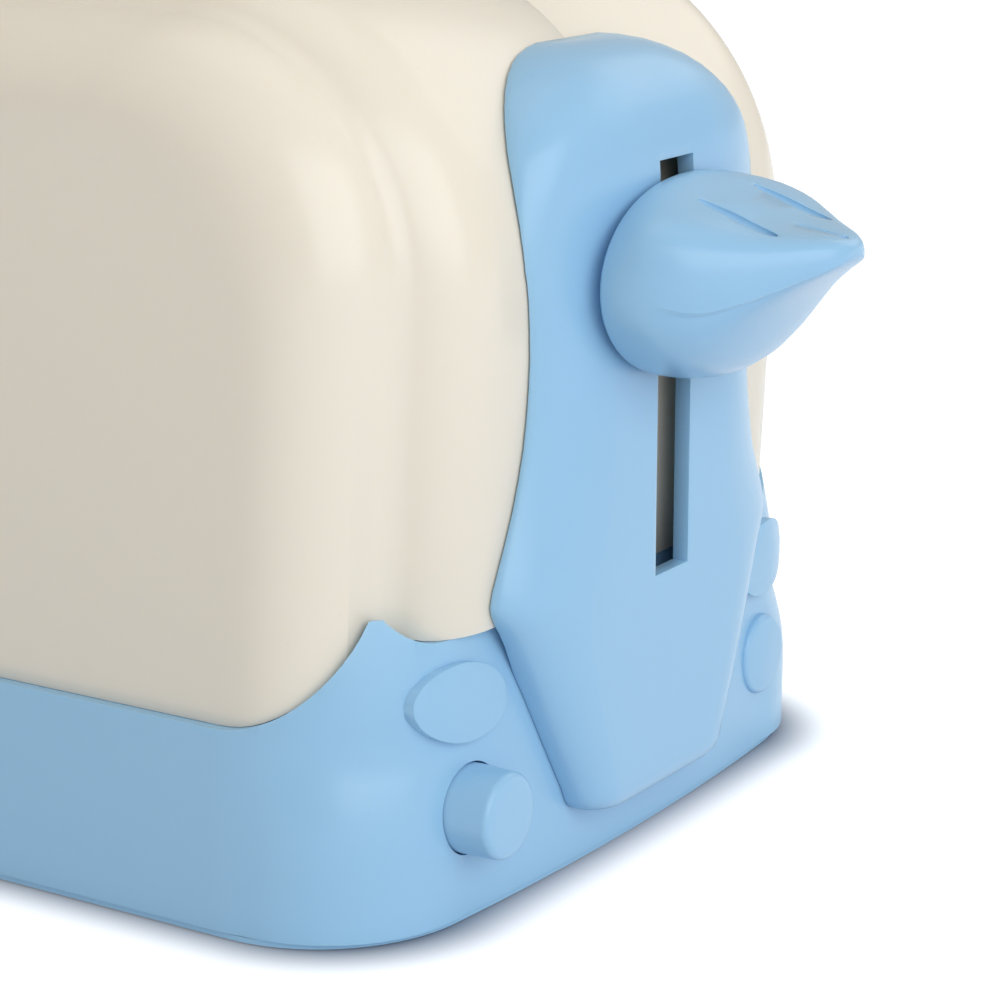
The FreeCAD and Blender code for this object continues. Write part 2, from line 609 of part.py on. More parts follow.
def endPanel():
    back = size.sliceSide - size.sliceSideRound
    outer = panelForm(0, back, size.panelFace)
    hollow = panelForm(size.panelWall, back - 1, size.panelFace - size.panelWall)
    pegs = []
    holes = []
    for sign in SIDES.values():
        start = (size.sliceSide - size.sliceLean, sign * size.panelScrewOffset, size.panelScrewHeight)
        pegs.append(bar(start, (1, 0, 0), size.bossRadius, size.panelFace - size.panelWall / 2 - start[0]))
        holes.append(bar((panelSeat(),) + start[1:], (1, 0, 0), pilot, size.panelScrewLength + size.seatGap))
    wall = tray(outer.cut(hollow), *pegs)
    slotHalf = size.leverSlotWidth / 2
    holes.append(brick((back, -slotHalf, size.leverSlotLow), (far, slotHalf, size.leverSlotHigh)))
    gap = size.seamGap
    body = sliceForm(-gap, sliceBottom - 2 * gap)
    base = baseForm(-gap, 0, sliceBottom)
    return wall.cut(body).cut(base).cut(tray(*holes))


formed("end_panel", endPanel())
PANEL_SEAT = ("sliceSide - shellWall - seatGap - sliceLean * (sliceTop - sliceRadius - panelScrewHeight"
              " + headRadius) / (sliceTop - sliceRadius - endRim - seamGap)")
screwGroup("panel_screws", [
    screw("+x", (PANEL_SEAT, "(%d) * panelScrewOffset" % sign, "panelScrewHeight"), "panelScrewLength")
    for sign in SIDES.values()])


# ---------------------------------------------------------------- wells, rods and bridge

WELL_HALF = "(slotWidth / 2 + wellMargin)"
WELL_END = "(slotHalfLength + wellEndGap)"
WELL_TOP = ("(sliceTop - sliceRadius - wellHeadroom + sqrt((sliceRadius - shellWall) ^ 2"
            " - (slotHalfLength + wellEndGap + wellWall - sliceSide + sliceRadius) ^ 2))")
CRADLE_LOW = "(stemLow - armHeight)"
for side, sign in SIDES.items():
    middle = "(%d) * slotOffset" % sign
    outer = block(["-%s - wellWall" % WELL_END, "%s - %s - wellWall" % (middle, WELL_HALF), SEAT],
                  ["%s + wellWall" % WELL_END, "%s + %s + wellWall" % (middle, WELL_HALF), WELL_TOP])
    inner = block(["-" + WELL_END, "%s - %s" % (middle, WELL_HALF), SEAT + " + wellWall"],
                  [WELL_END, "%s + %s" % (middle, WELL_HALF), WELL_TOP + " + wellWall"])
    armWay = block([WELL_END + " - wellWall", middle + " - armSlotWidth / 2",
                    CRADLE_LOW + " - leverTravel - stopGap"],
                   [WELL_END + " + 2 * wellWall", middle + " + armSlotWidth / 2", "stemLow + stopGap"])
    keep("bread_well_" + side, cut(outer, [inner, armWay]))

ROD_LOW = CHASSIS_TOP + " - rodSocket + seatGap"
BRIDGE_LOW = "(stemLow + stemHeight + stopGap)"
for side, sign in SIDES.items():
    keep("guide_rod_" + side, drum("+z", ("rodX", "(%d) * rodOffset" % sign, ROD_LOW), "rodRadius",
                                   "%s + bridgeThick - (%s)" % (BRIDGE_LOW, ROD_LOW)))
bridge = padded("bridge", "XY_Plane", [("rodX - bridgeHalfDepth", "-bridgeHalfWidth"),
                                       ("rodX + bridgeHalfDepth", "-bridgeHalfWidth"),
                                       ("rodX + bridgeHalfDepth", "bridgeHalfWidth"),
                                       ("rodX - bridgeHalfDepth", "bridgeHalfWidth")],
                "bridgeThick", BRIDGE_LOW, middle=False)
bridgeHoles = []
for sign in SIDES.values():
    bridgeHoles.append(drum("+z", ("rodX", "(%d) * rodOffset" % sign, "stemLow"),
                            "rodRadius + rodFit", "knobTip"))
    bridgeHoles.append(drum("+z", ("rodX", "(%d) * bridgeScrewOffset" % sign, "stemLow"),
                            "screwRadius + holeFit", "knobTip"))
keep("rod_bridge", cut(bridge, bridgeHoles))
screwGroup("bridge_screws", [
    screw("+z", ("rodX", "(%d) * bridgeScrewOffset" % sign, BRIDGE_LOW + " - seatGap"))
    for sign in SIDES.values()])


# ---------------------------------------------------------------- lever, carriage and cradles

def knobOutline(x, crease, up, down, half, power):
    # a closed outline at x, squarer above the crease than below it
    points = []
    for step in range(int(size.knobSides)):
        angle = math.tau * step / size.knobSides
        across, rise = math.cos(angle), math.sin(angle)
        reach = up if rise > 0 else down
        if rise > 0:
            across, rise = (math.copysign(abs(part) ** (2 / power), part) for part in (across, rise))
        points.append(Vector(x, half * across, crease + reach * rise))
    curve = Part.BSplineCurve()
    curve.interpolate(Points=points, PeriodicFlag=True)
    return Part.Wire([curve.toShape()])


def leverKnob():
    # a drum against the panel that narrows to a blunt tip, its flat top sloping down to it
    start = size.panelFace + size.knobGap
    outlines = []
    for step in range(int(size.knobSteps) + 1):
        share = math.sin(math.pi / 2 * step / size.knobSteps)
        tip = size.knobTipHalf / size.knobHalfWidth
        crease = size.knobHeight + size.knobRise * share ** 3
        top = size.knobHeight + size.knobHalfHeight - size.knobSlope * share
        outlines.append(knobOutline(start + (size.knobTip - start) * share, crease, top - crease,
                                    size.knobHalfHeight * max(tip, (1 - share ** 2) ** size.knobChinPower),
                                    size.knobHalfWidth * max(tip, 1 - share ** size.knobWidthPower),
                                    2 + size.knobSquare * math.sin(math.pi * share)))
    knob = Part.makeLoft(outlines, True, False)
    half = size.stemWidth / 2 + size.stemFit
    socket = brick((start - 1, -half, size.stemLow - size.stemFit),
                   (start + size.stemReach + size.seatGap, half,
                    size.stemLow + size.stemHeight + size.stemFit))
    return knob.cut(socket)


formed("lever_knob", leverKnob())

STEM_TOP = "(stemLow + stemHeight)"
frame = padded("frame", "YZ_Plane", [
    ("-sideArmReach", "stemLow"), ("carriageHalfWidth", "stemLow"), ("carriageHalfWidth", STEM_TOP),
    ("-carriageHalfWidth", STEM_TOP), ("-carriageHalfWidth", "stemLow + sideArmHeight"),
    ("-sideArmReach", "stemLow + sideArmHeight")],
    "carriageEnd - carriageStart", "carriageStart", middle=False)
stem = block(["carriageEnd - seatGap", "-stemWidth / 2", "stemLow"],
             ["panelFace + knobGap + stemReach", "stemWidth / 2", STEM_TOP])
carriageCuts = [drum("+z", ("rodX", "(%d) * rodOffset" % sign, "0"), "rodRadius + rodFit", "knobTip")
                for sign in SIDES.values()]
for start, end in (("carriageStart - seatGap", "sideArmStart"), ("rodX", "carriageEnd + seatGap")):
    carriageCuts.append(block([start, "-sideArmReach - seatGap", "stemLow - seatGap"],
                              [end, "-carriageHalfWidth", STEM_TOP]))
carriageCuts += [drum("+z", ("cradleScrewX", "(%d) * slotOffset" % sign, "stemLow - headThick"),
                      "screwRadius * cradleScrewScale + pilotFit", "cradleScrewLength")
                 for sign in SIDES.values()]
keep("carriage", cut(joined([frame, stem]), carriageCuts))

for side, sign in SIDES.items():
    middle = "(%d) * slotOffset" % sign
    tread = block(["-cradleHalfLength", middle + " - cradleWidth / 2", CRADLE_LOW],
                  ["cradleHalfLength", middle + " + cradleWidth / 2", CRADLE_LOW + " + cradleThick"])
    arm = block(["cradleHalfLength - armHeight", middle + " - armWidth / 2", CRADLE_LOW],
                ["armEnd", middle + " + armWidth / 2", "stemLow - seatGap"])
    hole = drum("+z", ("cradleScrewX", middle, "0"), "(screwRadius + holeFit) * cradleScrewScale", "knobTip")
    head = drum("+z", ("cradleScrewX", middle, "0"), "headRadius * cradleScrewScale",
                CRADLE_LOW + " + armHeight / 2")
    keep("cradle_" + side, cut(joined([tread, arm]), [hole, head]))
screwGroup("cradle_screws", [
    screw("+z", ("cradleScrewX", "(%d) * slotOffset" % sign, CRADLE_LOW + " + armHeight / 2 - seatGap"),
          "cradleScrewLength * cradleScrewScale", "cradleScrewScale") for sign in SIDES.values()])


# ---------------------------------------------------------------- release button and catch

BUTTON = ("-buttonOffset", "buttonHeight")
WALL_OUT = "(baseHalfLength - buttonOffset ^ 2 / (2 * endBowRadius))"
FLANGE_FRONT = "(%s - baseWall - sqrt(2) * baseWall)" % WALL_OUT
FACE = "(%s + buttonProud)" % WALL_OUT
button = turned("button", [
    ("hookStart + hookThick - hookSocket", "0"), (FACE, "0"),
    (FACE, "buttonRadius - buttonTaper - buttonRimRound"),
    (FACE + " - buttonRimRound", "buttonRadius - buttonTaper"), (FLANGE_FRONT, "buttonRadius"),
    (FLANGE_FRONT, "flangeRadius"), (FLANGE_FRONT + " - flangeThick", "flangeRadius"),
    (FLANGE_FRONT + " - flangeThick", "plungerRadius"),
    ("hookStart + hookThick - hookSocket", "plungerRadius")])
keep("release_button", place(button, "0", *BUTTON))

HOOK_TOP = "(stemLow - leverTravel + sideArmHeight + tongueThick + tongueGap + hookNoseThick)"
hook = padded("hook", "XZ_Plane", [
    ("hookStart", "buttonHeight - plungerRadius - shellWall"),
    ("hookStart + hookThick", "buttonHeight - plungerRadius - shellWall"),
    ("hookStart + hookThick", HOOK_TOP + " - hookNoseThick"),
    ("hookStart + hookThick + hookNose", HOOK_TOP + " - hookNoseThick"), ("hookStart + hookThick", HOOK_TOP),
    ("hookStart", HOOK_TOP)], "2 * hookHalfWidth", "buttonOffset")
socket = drum("+x", ("hookStart + hookThick - hookSocket - seatGap",) + BUTTON, "plungerRadius + rodFit",
              "hookThick")
keep("catch_hook", cut(hook, [socket]))

TONGUE_LOW = "(stemLow + sideArmHeight + seatGap / 10)"
keep("catch_tongue", block(["tongueTip", "-buttonOffset - tongueHalfWidth", TONGUE_LOW],
                           ["sideArmStart + tongueSeat", "-buttonOffset + tongueHalfWidth",
                            TONGUE_LOW + " + tongueThick"]))

guide = padded("guide", "YZ_Plane", [
    ("-buttonOffset - guideHalfWidth", "buttonHeight - guideHang"),
    ("-buttonOffset + guideHalfWidth", "buttonHeight - guideHang"),
    ("-buttonOffset + guideHalfWidth", "chassisLow - seatGap"),
    ("-buttonOffset - guideHalfWidth", "chassisLow - seatGap")], "guideThick", "guideX", middle=False)
keep("button_guide", cut(guide, [drum("+x", ("0",) + BUTTON, "plungerRadius + rodFit", "knobTip")]))


# ---------------------------------------------------------------- springs

def coil(start, way, length, radius, wire, turns):
    # a compression spring whose wire stays inside the two ends of its length
    pitch = (length - 2 * wire) / turns
    helix = Part.makeHelix(pitch, length - 2 * wire, radius)
    rim = [Vector(radius + wire * math.cos(math.tau * i / size.wireSides), 0,
                  wire * math.sin(math.tau * i / size.wireSides)) for i in range(int(size.wireSides))]
    section = Part.makePolygon(rim + rim[:1])
    spring = Part.Wire(helix.Edges).makePipeShell([section], True, True)
    spring.translate(Vector(0, 0, wire))
    along = FreeCAD.Placement(Vector(*start), FreeCAD.Rotation(Vector(0, 0, 1), Vector(*way)))
    spring.Placement = along.multiply(spring.Placement)
    return spring


springGap = size.seamGap
for side, sign in SIDES.items():
    foot = chassisTop + springGap
    formed("lift_spring_" + side, coil((size.rodX, sign * size.rodOffset, foot), (0, 0, 1),
                                       size.stemLow - springGap - foot, size.liftCoilRadius, size.liftWire,
                                       size.liftTurns))
wallOut = size.baseHalfLength - size.buttonOffset ** 2 / (2 * size.endBowRadius)
flangeBack = wallOut - size.baseWall - math.sqrt(2) * size.baseWall - size.flangeThick
guideFace = size.guideX + size.guideThick
formed("button_spring", coil((guideFace + springGap, -size.buttonOffset, size.buttonHeight), (1, 0, 0),
                             flangeBack - guideFace - 2 * springGap, size.buttonCoilRadius, size.buttonWire,
                             size.buttonTurns))


# ---------------------------------------------------------------- checks and files

doc.recompute()
for item in doc.Objects:
    if "Invalid" in item.State or "Error" in item.State:
        raise RuntimeError("%s failed: %s" % (item.Label, item.State))
os.makedirs("parts", exist_ok=True)
for label, item in kept.items():
    shape = item.Shape
    if shape.isNull() or not shape.isValid() or not shape.Solids:
        raise RuntimeError("%s has no valid shape" % label)
for label, item in kept.items():
    item.Shape.exportStep("parts/%s.step" % label)
    box = item.Shape.optimalBoundingBox()
    print("%-20s %2d solids %9.1f mm3  x %6.1f %6.1f  y %6.1f %6.1f  z %6.1f %6.1f" % (
        label, len(item.Shape.Solids), item.Shape.Volume, box.XMin, box.XMax, box.YMin, box.YMax,
        box.ZMin, box.ZMax))
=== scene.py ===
import bpy
import bmesh
import math
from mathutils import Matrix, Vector


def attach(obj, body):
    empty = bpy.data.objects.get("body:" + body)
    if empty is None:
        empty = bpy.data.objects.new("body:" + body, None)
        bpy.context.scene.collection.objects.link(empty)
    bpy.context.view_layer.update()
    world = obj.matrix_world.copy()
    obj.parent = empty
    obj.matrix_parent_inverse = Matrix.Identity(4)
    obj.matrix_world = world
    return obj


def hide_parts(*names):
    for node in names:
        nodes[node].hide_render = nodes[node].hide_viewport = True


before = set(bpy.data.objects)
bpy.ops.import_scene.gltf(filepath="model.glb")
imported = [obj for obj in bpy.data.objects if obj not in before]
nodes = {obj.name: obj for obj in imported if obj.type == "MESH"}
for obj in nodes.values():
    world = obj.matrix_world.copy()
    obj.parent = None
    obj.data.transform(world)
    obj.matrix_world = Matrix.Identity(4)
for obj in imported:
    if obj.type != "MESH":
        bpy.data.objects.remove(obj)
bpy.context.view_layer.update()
print("frame loaded:", len(nodes), "nodes")

mm = 0.001
mergeGap = 0.01  # points closer than this are one point
longEdge = 5.0  # an edge counts as lying along an axis from this length on
facing = 0.9  # a face looks along an axis from this share of its normal on


# camera and view

camera = {"place": (279.25, -332.91, 145.0), "pitch": 14.561, "turn": 32.545, "lens": 109.44,
          "sensor": 36.0, "clipEnd": 20}

cameraData = bpy.data.cameras.new("camera")
cameraData.lens = camera["lens"]
cameraData.sensor_width = camera["sensor"]
cameraData.clip_end = camera["clipEnd"]
cameraObject = bpy.data.objects.new("camera", cameraData)
bpy.context.scene.collection.objects.link(cameraObject)
cameraObject.location = [number * mm for number in camera["place"]]
cameraObject.rotation_euler = (math.radians(90 - camera["pitch"]), 0, math.radians(camera["turn"]))
bpy.context.scene.camera = cameraObject
bpy.context.scene.view_settings.view_transform = "Standard"


# small helpers for working by hand; places and sizes are in mm, angles in degrees

def dropAll():
    if bpy.context.object and bpy.context.object.mode != "OBJECT":
        bpy.ops.object.mode_set(mode="OBJECT")
    bpy.ops.object.select_all(action="DESELECT")


def takeUp(piece):
    dropAll()
    piece.select_set(True)
    bpy.context.view_layer.objects.active = piece


def openUp(piece, mode="FACE"):
    takeUp(piece)
    bpy.ops.object.mode_set(mode="EDIT")
    bpy.ops.mesh.select_mode(type=mode)
    bpy.ops.mesh.select_all(action="DESELECT")


def openWhole(piece, mode="FACE"):
    openUp(piece, mode)
    bpy.ops.mesh.select_all(action="SELECT")


def pick(piece, mode, rule):
    # selects the faces, edges or points that the rule holds for
    bpy.ops.mesh.select_mode(type=mode)
    bpy.ops.mesh.select_all(action="DESELECT")
    shape = bmesh.from_edit_mesh(piece.data)
    for part in {"FACE": shape.faces, "EDGE": shape.edges, "VERT": shape.verts}[mode]:
        if rule(part):
            part.select_set(True)
    bmesh.update_edit_mesh(piece.data)


def pickFaces(piece, rule):
    # rule gets the middle of a face, and its normal
    pick(piece, "FACE", lambda face: rule(face.calc_center_median() / mm, face.normal))


def pickEdges(piece, rule):
    # rule gets both ends of an edge
    pick(piece, "EDGE", lambda edge: rule(edge.verts[0].co / mm, edge.verts[1].co / mm))


def pickPoints(piece, rule):
    pick(piece, "VERT", lambda point: rule(point.co / mm))


def slide(x=0, y=0, z=0):
    bpy.ops.transform.translate(value=(x * mm, y * mm, z * mm))


def pullOut(x=0, y=0, z=0):
    move = {"value": (x * mm, y * mm, z * mm)}
    bpy.ops.mesh.extrude_region_move(TRANSFORM_OT_translate=move)


def stretch(x=1, y=1, z=1, about=(0, 0, 0)):
    middle = [number * mm for number in about]
    bpy.ops.transform.resize(value=(x, y, z), center_override=middle)


def tiltBy(angle, axis, about=(0, 0, 0)):
    middle = [number * mm for number in about]
    bpy.ops.transform.rotate(value=math.radians(angle), orient_axis=axis, center_override=middle)


def roundEdges(width, steps):
    bpy.ops.mesh.bevel(offset=width * mm, segments=steps, profile=0.5)


def named(name):
    piece = bpy.context.object
    piece.name = name
    piece.data.name = name
    bpy.ops.object.transform_apply(location=True, rotation=True, scale=True)
    return piece


def blockPiece(name, low, high):
    dropAll()
    middle = [(a + b) / 2 * mm for a, b in zip(low, high)]
    size = [(b - a) * mm for a, b in zip(low, high)]
    bpy.ops.mesh.primitive_cube_add(size=1, location=middle, scale=size)
    return named(name)


def roundPiece(name, radius, length, middle, sides=64):
    # a round rod that lies along X
    dropAll()
    bpy.ops.mesh.primitive_cylinder_add(vertices=sides, radius=radius * mm, depth=length * mm,
                                        location=[number * mm for number in middle],
                                        rotation=(0, math.radians(90), 0))
    return named(name)


def copyOf(piece, name):
    takeUp(piece)
    bpy.ops.object.duplicate()
    copy = bpy.context.object
    copy.name = name
    copy.data.name = name
    return copy


def sizedCopy(piece, name, x, y):
    copy = copyOf(piece, name)
    openWhole(copy)
    stretch(x=x, y=y)
    dropAll()
    return copy


def useModifier(piece, kind, **settings):
    takeUp(piece)
    modifier = piece.modifiers.new(kind, kind)
    for setting, value in settings.items():
        setattr(modifier, setting, value)
    bpy.ops.object.modifier_apply(modifier=modifier.name)


def carve(piece, tool, how="DIFFERENCE"):
    useModifier(piece, "BOOLEAN", operation=how, solver="EXACT", object=tool)
    bpy.data.objects.remove(tool)


def giveWall(piece, thickness):
    useModifier(piece, "SOLIDIFY", thickness=thickness * mm, offset=-1, use_even_offset=True)


def turnOut(piece):
    # closes doubled points and makes the faces point outwards
    openWhole(piece)
    bpy.ops.mesh.remove_doubles(threshold=mergeGap * mm)
    bpy.ops.mesh.normals_make_consistent(inside=False)
    dropAll()


def softenEdges(piece, width, steps=2, angle=40):
    useModifier(piece, "BEVEL", width=width * mm, segments=steps, limit_method="ANGLE",
                angle_limit=math.radians(angle), use_clamp_overlap=True,
                miter_outer="MITER_SHARP")


def shadeSoft(piece, angle=32):
    takeUp(piece)
    bpy.ops.object.shade_smooth_by_angle(angle=math.radians(angle))


# helpers for materials

def newMaterial(name):
    made = bpy.data.materials.new(name)
    made.use_nodes = True
    return made, made.node_tree, made.node_tree.nodes["Principled BSDF"]


def addNode(tree, kind, inputs=None, **settings):
    node = tree.nodes.new("ShaderNode" + kind)
    for setting, value in settings.items():
        setattr(node, setting, value)
    setInputs(node, inputs or {})
    return node


def setInputs(node, inputs):
    for socket, value in inputs.items():
        node.inputs[socket].default_value = value


def join(tree, start, output, end, socket):
    tree.links.new(start.outputs[output], end.inputs[socket])


# finishes

finishes = {
    "blue": {"light": (0.312, 0.555, 0.790), "dark": (0.304, 0.545, 0.780),
             "rough": (0.262, 0.274), "grain": 1500, "bump": 0.010, "soak": 0.10,
             "glow": (0.35, 0.6, 0.9)},
    "cream": {"light": (0.862, 0.785, 0.672), "dark": (0.854, 0.775, 0.656),
              "rough": (0.242, 0.256), "grain": 1300, "bump": 0.008, "soak": 0.20,
              "glow": (0.9, 0.75, 0.5)},
    "inner": {"light": (0.545, 0.520, 0.425), "dark": (0.47, 0.445, 0.355),
              "rough": (0.38, 0.52), "grain": 900, "bump": 0.02, "soak": 0.0,
              "glow": (0.5, 0.5, 0.4)},
}
moulding = {"cloud": 22, "cloudDetail": 4, "dust": 130, "speckIn": 0.03, "speckOut": 0.055,
            "speckShare": 0.06, "speckShade": 0.72, "scuffScale": (150, 150, 60),
            "scuffTurn": (0.5, 0.3, 0.7), "scuffDetail": 2, "scuffRange": (0.2, 0.8),
            "grainDetail": 2, "swell": 48, "swellDetail": 1, "swellDepth": 0.04, "strength": 0.25,
            "refraction": 1.49, "soakDepth": 0.004}


def mouldedPlastic(name, look):
    # smooth moulded plastic: faint clouding, fine grain, scuffs that only show in the gloss
    made, tree, shader = newMaterial(name)
    place = addNode(tree, "TexCoord")
    setting = addNode(tree, "Mapping")
    join(tree, place, "Object", setting, "Vector")

    cloud = addNode(tree, "TexNoise",
                    {"Scale": moulding["cloud"], "Detail": moulding["cloudDetail"]})
    join(tree, setting, "Vector", cloud, "Vector")
    tint = addNode(tree, "Mix", {"A": (*look["dark"], 1), "B": (*look["light"], 1)},
                   data_type="RGBA")
    join(tree, cloud, "Fac", tint, "Factor")

    dust = addNode(tree, "TexVoronoi", {"Scale": moulding["dust"]})
    join(tree, setting, "Vector", dust, "Vector")
    speck = addNode(tree, "MapRange",
                    {"From Min": moulding["speckIn"], "From Max": moulding["speckOut"],
                     "To Min": moulding["speckShare"], "To Max": 0.0})
    join(tree, dust, "Distance", speck, "Value")
    speckTint = [number * moulding["speckShade"] for number in look["dark"]]
    marked = addNode(tree, "Mix", {"B": (*speckTint, 1)}, data_type="RGBA")
    join(tree, tint, "Result", marked, "A")
    join(tree, speck, "Result", marked, "Factor")
    join(tree, marked, "Result", shader, "Base Color")

    scuffPlace = addNode(tree, "Mapping",
                         {"Scale": moulding["scuffScale"], "Rotation": moulding["scuffTurn"]})
    join(tree, place, "Object", scuffPlace, "Vector")
    scuff = addNode(tree, "TexNoise", {"Scale": 1, "Detail": moulding["scuffDetail"]})
    join(tree, scuffPlace, "Vector", scuff, "Vector")
    dull = addNode(tree, "MapRange",
                   {"From Min": moulding["scuffRange"][0], "From Max": moulding["scuffRange"][1],
                    "To Min": look["rough"][0], "To Max": look["rough"][1]})
    join(tree, scuff, "Fac", dull, "Value")
    join(tree, dull, "Result", shader, "Roughness")

    grain = addNode(tree, "TexNoise",
                    {"Scale": look["grain"], "Detail": moulding["grainDetail"]})
    join(tree, setting, "Vector", grain, "Vector")
    swell = addNode(tree, "TexNoise",
                    {"Scale": moulding["swell"], "Detail": moulding["swellDetail"]})
    join(tree, setting, "Vector", swell, "Vector")
    fine = addNode(tree, "Bump",
                   {"Strength": moulding["strength"], "Distance": look["bump"] * mm})
    join(tree, grain, "Fac", fine, "Height")
    wavy = addNode(tree, "Bump",
                   {"Strength": moulding["strength"], "Distance": moulding["swellDepth"] * mm})
    join(tree, swell, "Fac", wavy, "Height")
    join(tree, fine, "Normal", wavy, "Normal")
    join(tree, wavy, "Normal", shader, "Normal")

    setInputs(shader, {"IOR": moulding["refraction"], "Subsurface Weight": look["soak"],
                       "Subsurface Radius": look["glow"],
                       "Subsurface Scale": moulding["soakDepth"]})
    return made


metals = {
    "screwSteel": {"colour": (0.56, 0.56, 0.58), "rough": (0.28, 0.45), "grain": 900},
    "rodSteel": {"colour": (0.62, 0.62, 0.63), "rough": (0.16, 0.30), "grain": 500},
    "springSteel": {"colour": (0.50, 0.50, 0.50), "rough": (0.22, 0.38), "grain": 700},
}
plating = {"wearDetail": 5, "wornShade": 0.82, "strength": 0.3, "depth": 0.01}


def platedSteel(name, look):
    made, tree, shader = newMaterial(name)
    shader.inputs["Metallic"].default_value = 1
    place = addNode(tree, "TexCoord")
    setting = addNode(tree, "Mapping")
    join(tree, place, "Object", setting, "Vector")
    wear = addNode(tree, "TexNoise", {"Scale": look["grain"], "Detail": plating["wearDetail"]})
    join(tree, setting, "Vector", wear, "Vector")
    worn = [number * plating["wornShade"] for number in look["colour"]]
    tint = addNode(tree, "Mix", {"A": (*worn, 1), "B": (*look["colour"], 1)}, data_type="RGBA")
    join(tree, wear, "Fac", tint, "Factor")
    join(tree, tint, "Result", shader, "Base Color")
    dull = addNode(tree, "MapRange", {"To Min": look["rough"][0], "To Max": look["rough"][1]})
    join(tree, wear, "Fac", dull, "Value")
    join(tree, dull, "Result", shader, "Roughness")
    fine = addNode(tree, "Bump",
                   {"Strength": plating["strength"], "Distance": plating["depth"] * mm})
    join(tree, wear, "Fac", fine, "Height")
    join(tree, fine, "Normal", shader, "Normal")
    return made


bluePlastic = mouldedPlastic("bluePlastic", finishes["blue"])
creamPlastic = mouldedPlastic("creamPlastic", finishes["cream"])
innerPlastic = mouldedPlastic("innerPlastic", finishes["inner"])
screwSteel = platedSteel("screwSteel", metals["screwSteel"])
rodSteel = platedSteel("rodSteel", metals["rodSteel"])
springSteel = platedSteel("springSteel", metals["springSteel"])
print("finishes made")


def settle(piece, body, slot, finish, *standsFor):
    takeUp(piece)
    bpy.ops.object.transform_apply(location=True, rotation=True, scale=True)
    piece.data.materials.clear()
    piece.data.materials.append(finish)
    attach(piece, body)
    if standsFor:
        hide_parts(*standsFor)
    print(piece.name, len(piece.data.polygons), "faces")


# the rooms above the base's rim, which shape both the rim and the foot of the body

rim = {"endHeight": 36.1, "endHalf": 48.9, "endRound": 8.0, "endSteps": 10,
       "sideHeight": 26.2, "sideHalf": 79.9, "sideRound": 17.0, "sideSteps": 16, "sideIn": 44.0,
       "flare": 6.0, "cornerHeight": 40.0, "blockLong": 130, "blockWide": 90, "blockFoot": -60,
       "roomLong": 140, "roomWide": 120, "roomTop": 150}


def atRoomFoot(a, b):
    return max(a.z, b.z) < rim["roomTop"] / 2


def collarPiece(gap):
    # everything below the rim, as one block that has the rooms cut out of it
    collar = blockPiece("collar", (-rim["blockLong"], -rim["blockWide"], rim["blockFoot"]),
                        (rim["blockLong"], rim["blockWide"], rim["cornerHeight"]))
    endRoom = blockPiece("endRoom",
                         (-rim["roomLong"], gap - rim["endHalf"], rim["endHeight"] + gap),
                         (rim["roomLong"], rim["endHalf"] - gap, rim["roomTop"]))
    openUp(endRoom, "EDGE")
    pickEdges(endRoom, lambda a, b: atRoomFoot(a, b) and abs(a.x - b.x) > longEdge)
    roundEdges(rim["endRound"], rim["endSteps"])
    dropAll()
    carve(collar, endRoom)
    for sign in (-1, 1):
        half = rim["sideHalf"] - gap
        near, far = sorted((sign * (rim["sideIn"] + gap / 2), sign * rim["roomWide"]))
        sideRoom = blockPiece("sideRoom", (-half, near, rim["sideHeight"] + gap),
                              (half, far, rim["roomTop"]))
        openUp(sideRoom, "EDGE")
        pickEdges(sideRoom, lambda a, b: atRoomFoot(a, b) and abs(a.y - b.y) > longEdge)
        roundEdges(rim["sideRound"], rim["sideSteps"])
        pickPoints(sideRoom, lambda p: p.z > rim["roomTop"] / 2)
        stretch(x=(half + rim["flare"]) / half)
        dropAll()
        carve(collar, sideRoom)
    return collar


# body: two cream halves, each a half of the thick middle slice with a round cheek outside it

cream = {"side": 88.7, "top": 115.4, "arch": 39.2, "archSteps": 28, "foot": -40.0,
         "flatHalf": 33.0, "shoulderOut": 11.0, "shoulderIn": 9.0, "shoulderTurn": 66.4,
         "shoulderSteps": 8, "valleySide": 81.0, "valleyTop": 109.8, "valleyArch": 29.8,
         "valleyBends": ((43.75, 0.86), (44.9, 1.0), (46.6, 1.0)), "valleySteps": 8,
         "leastInset": 1e-4, "cheekStart": 45.0, "cheekOut": 12.0, "cheekShrink": 0.84,
         "cheekAim": 37.3, "cheekSteps": 12, "lean": 0.0654, "wall": 2.2, "seam": 0.08,
         "rimGap": 0.06, "soft": 0.3, "windowLow": (76, -4.6, 20), "windowHigh": (120, 4.6, 91)}
slots = {"half": 57.0, "width": 18.0, "offset": 15.5, "corner": 3.0, "cornerSteps": 6,
         "lip": 1.3, "lipSteps": 4, "depth": 99.0, "above": 130, "near": 0.05}


def sliceOutline():
    # from the middle plane to where the rounding starts, with the two arch corners
    half = blockPiece("half", (-cream["side"], -cream["flatHalf"], cream["foot"]),
                      (cream["side"], 0, cream["top"]))
    openUp(half, "EDGE")
    pickEdges(half, lambda a, b: min(a.z, b.z) > cream["top"] - 1 and abs(a.y - b.y) > longEdge)
    roundEdges(cream["arch"], cream["archSteps"])
    pickFaces(half, lambda middle, way: way.y < -facing)
    return half


def shoulderPath(drop):
    # places across and shares of the valley's depth: the slice's shoulder, then a soft valley
    steps = []
    for step in range(1, cream["shoulderSteps"] + 1):
        angle = math.radians(cream["shoulderTurn"] * step / cream["shoulderSteps"])
        steps.append((cream["flatHalf"] + cream["shoulderOut"] * math.sin(angle),
                      cream["shoulderIn"] * (1 - math.cos(angle)) / drop))
    bends = (steps[-1], *cream["valleyBends"])
    for step in range(1, cream["valleySteps"] + 1):
        t = step / cream["valleySteps"]
        weights = ((1 - t) ** 3, 3 * t * (1 - t) ** 2, 3 * t * t * (1 - t), t ** 3)
        steps.append(tuple(sum(w * bend[i] for w, bend in zip(weights, bends)) for i in (0, 1)))
    return steps


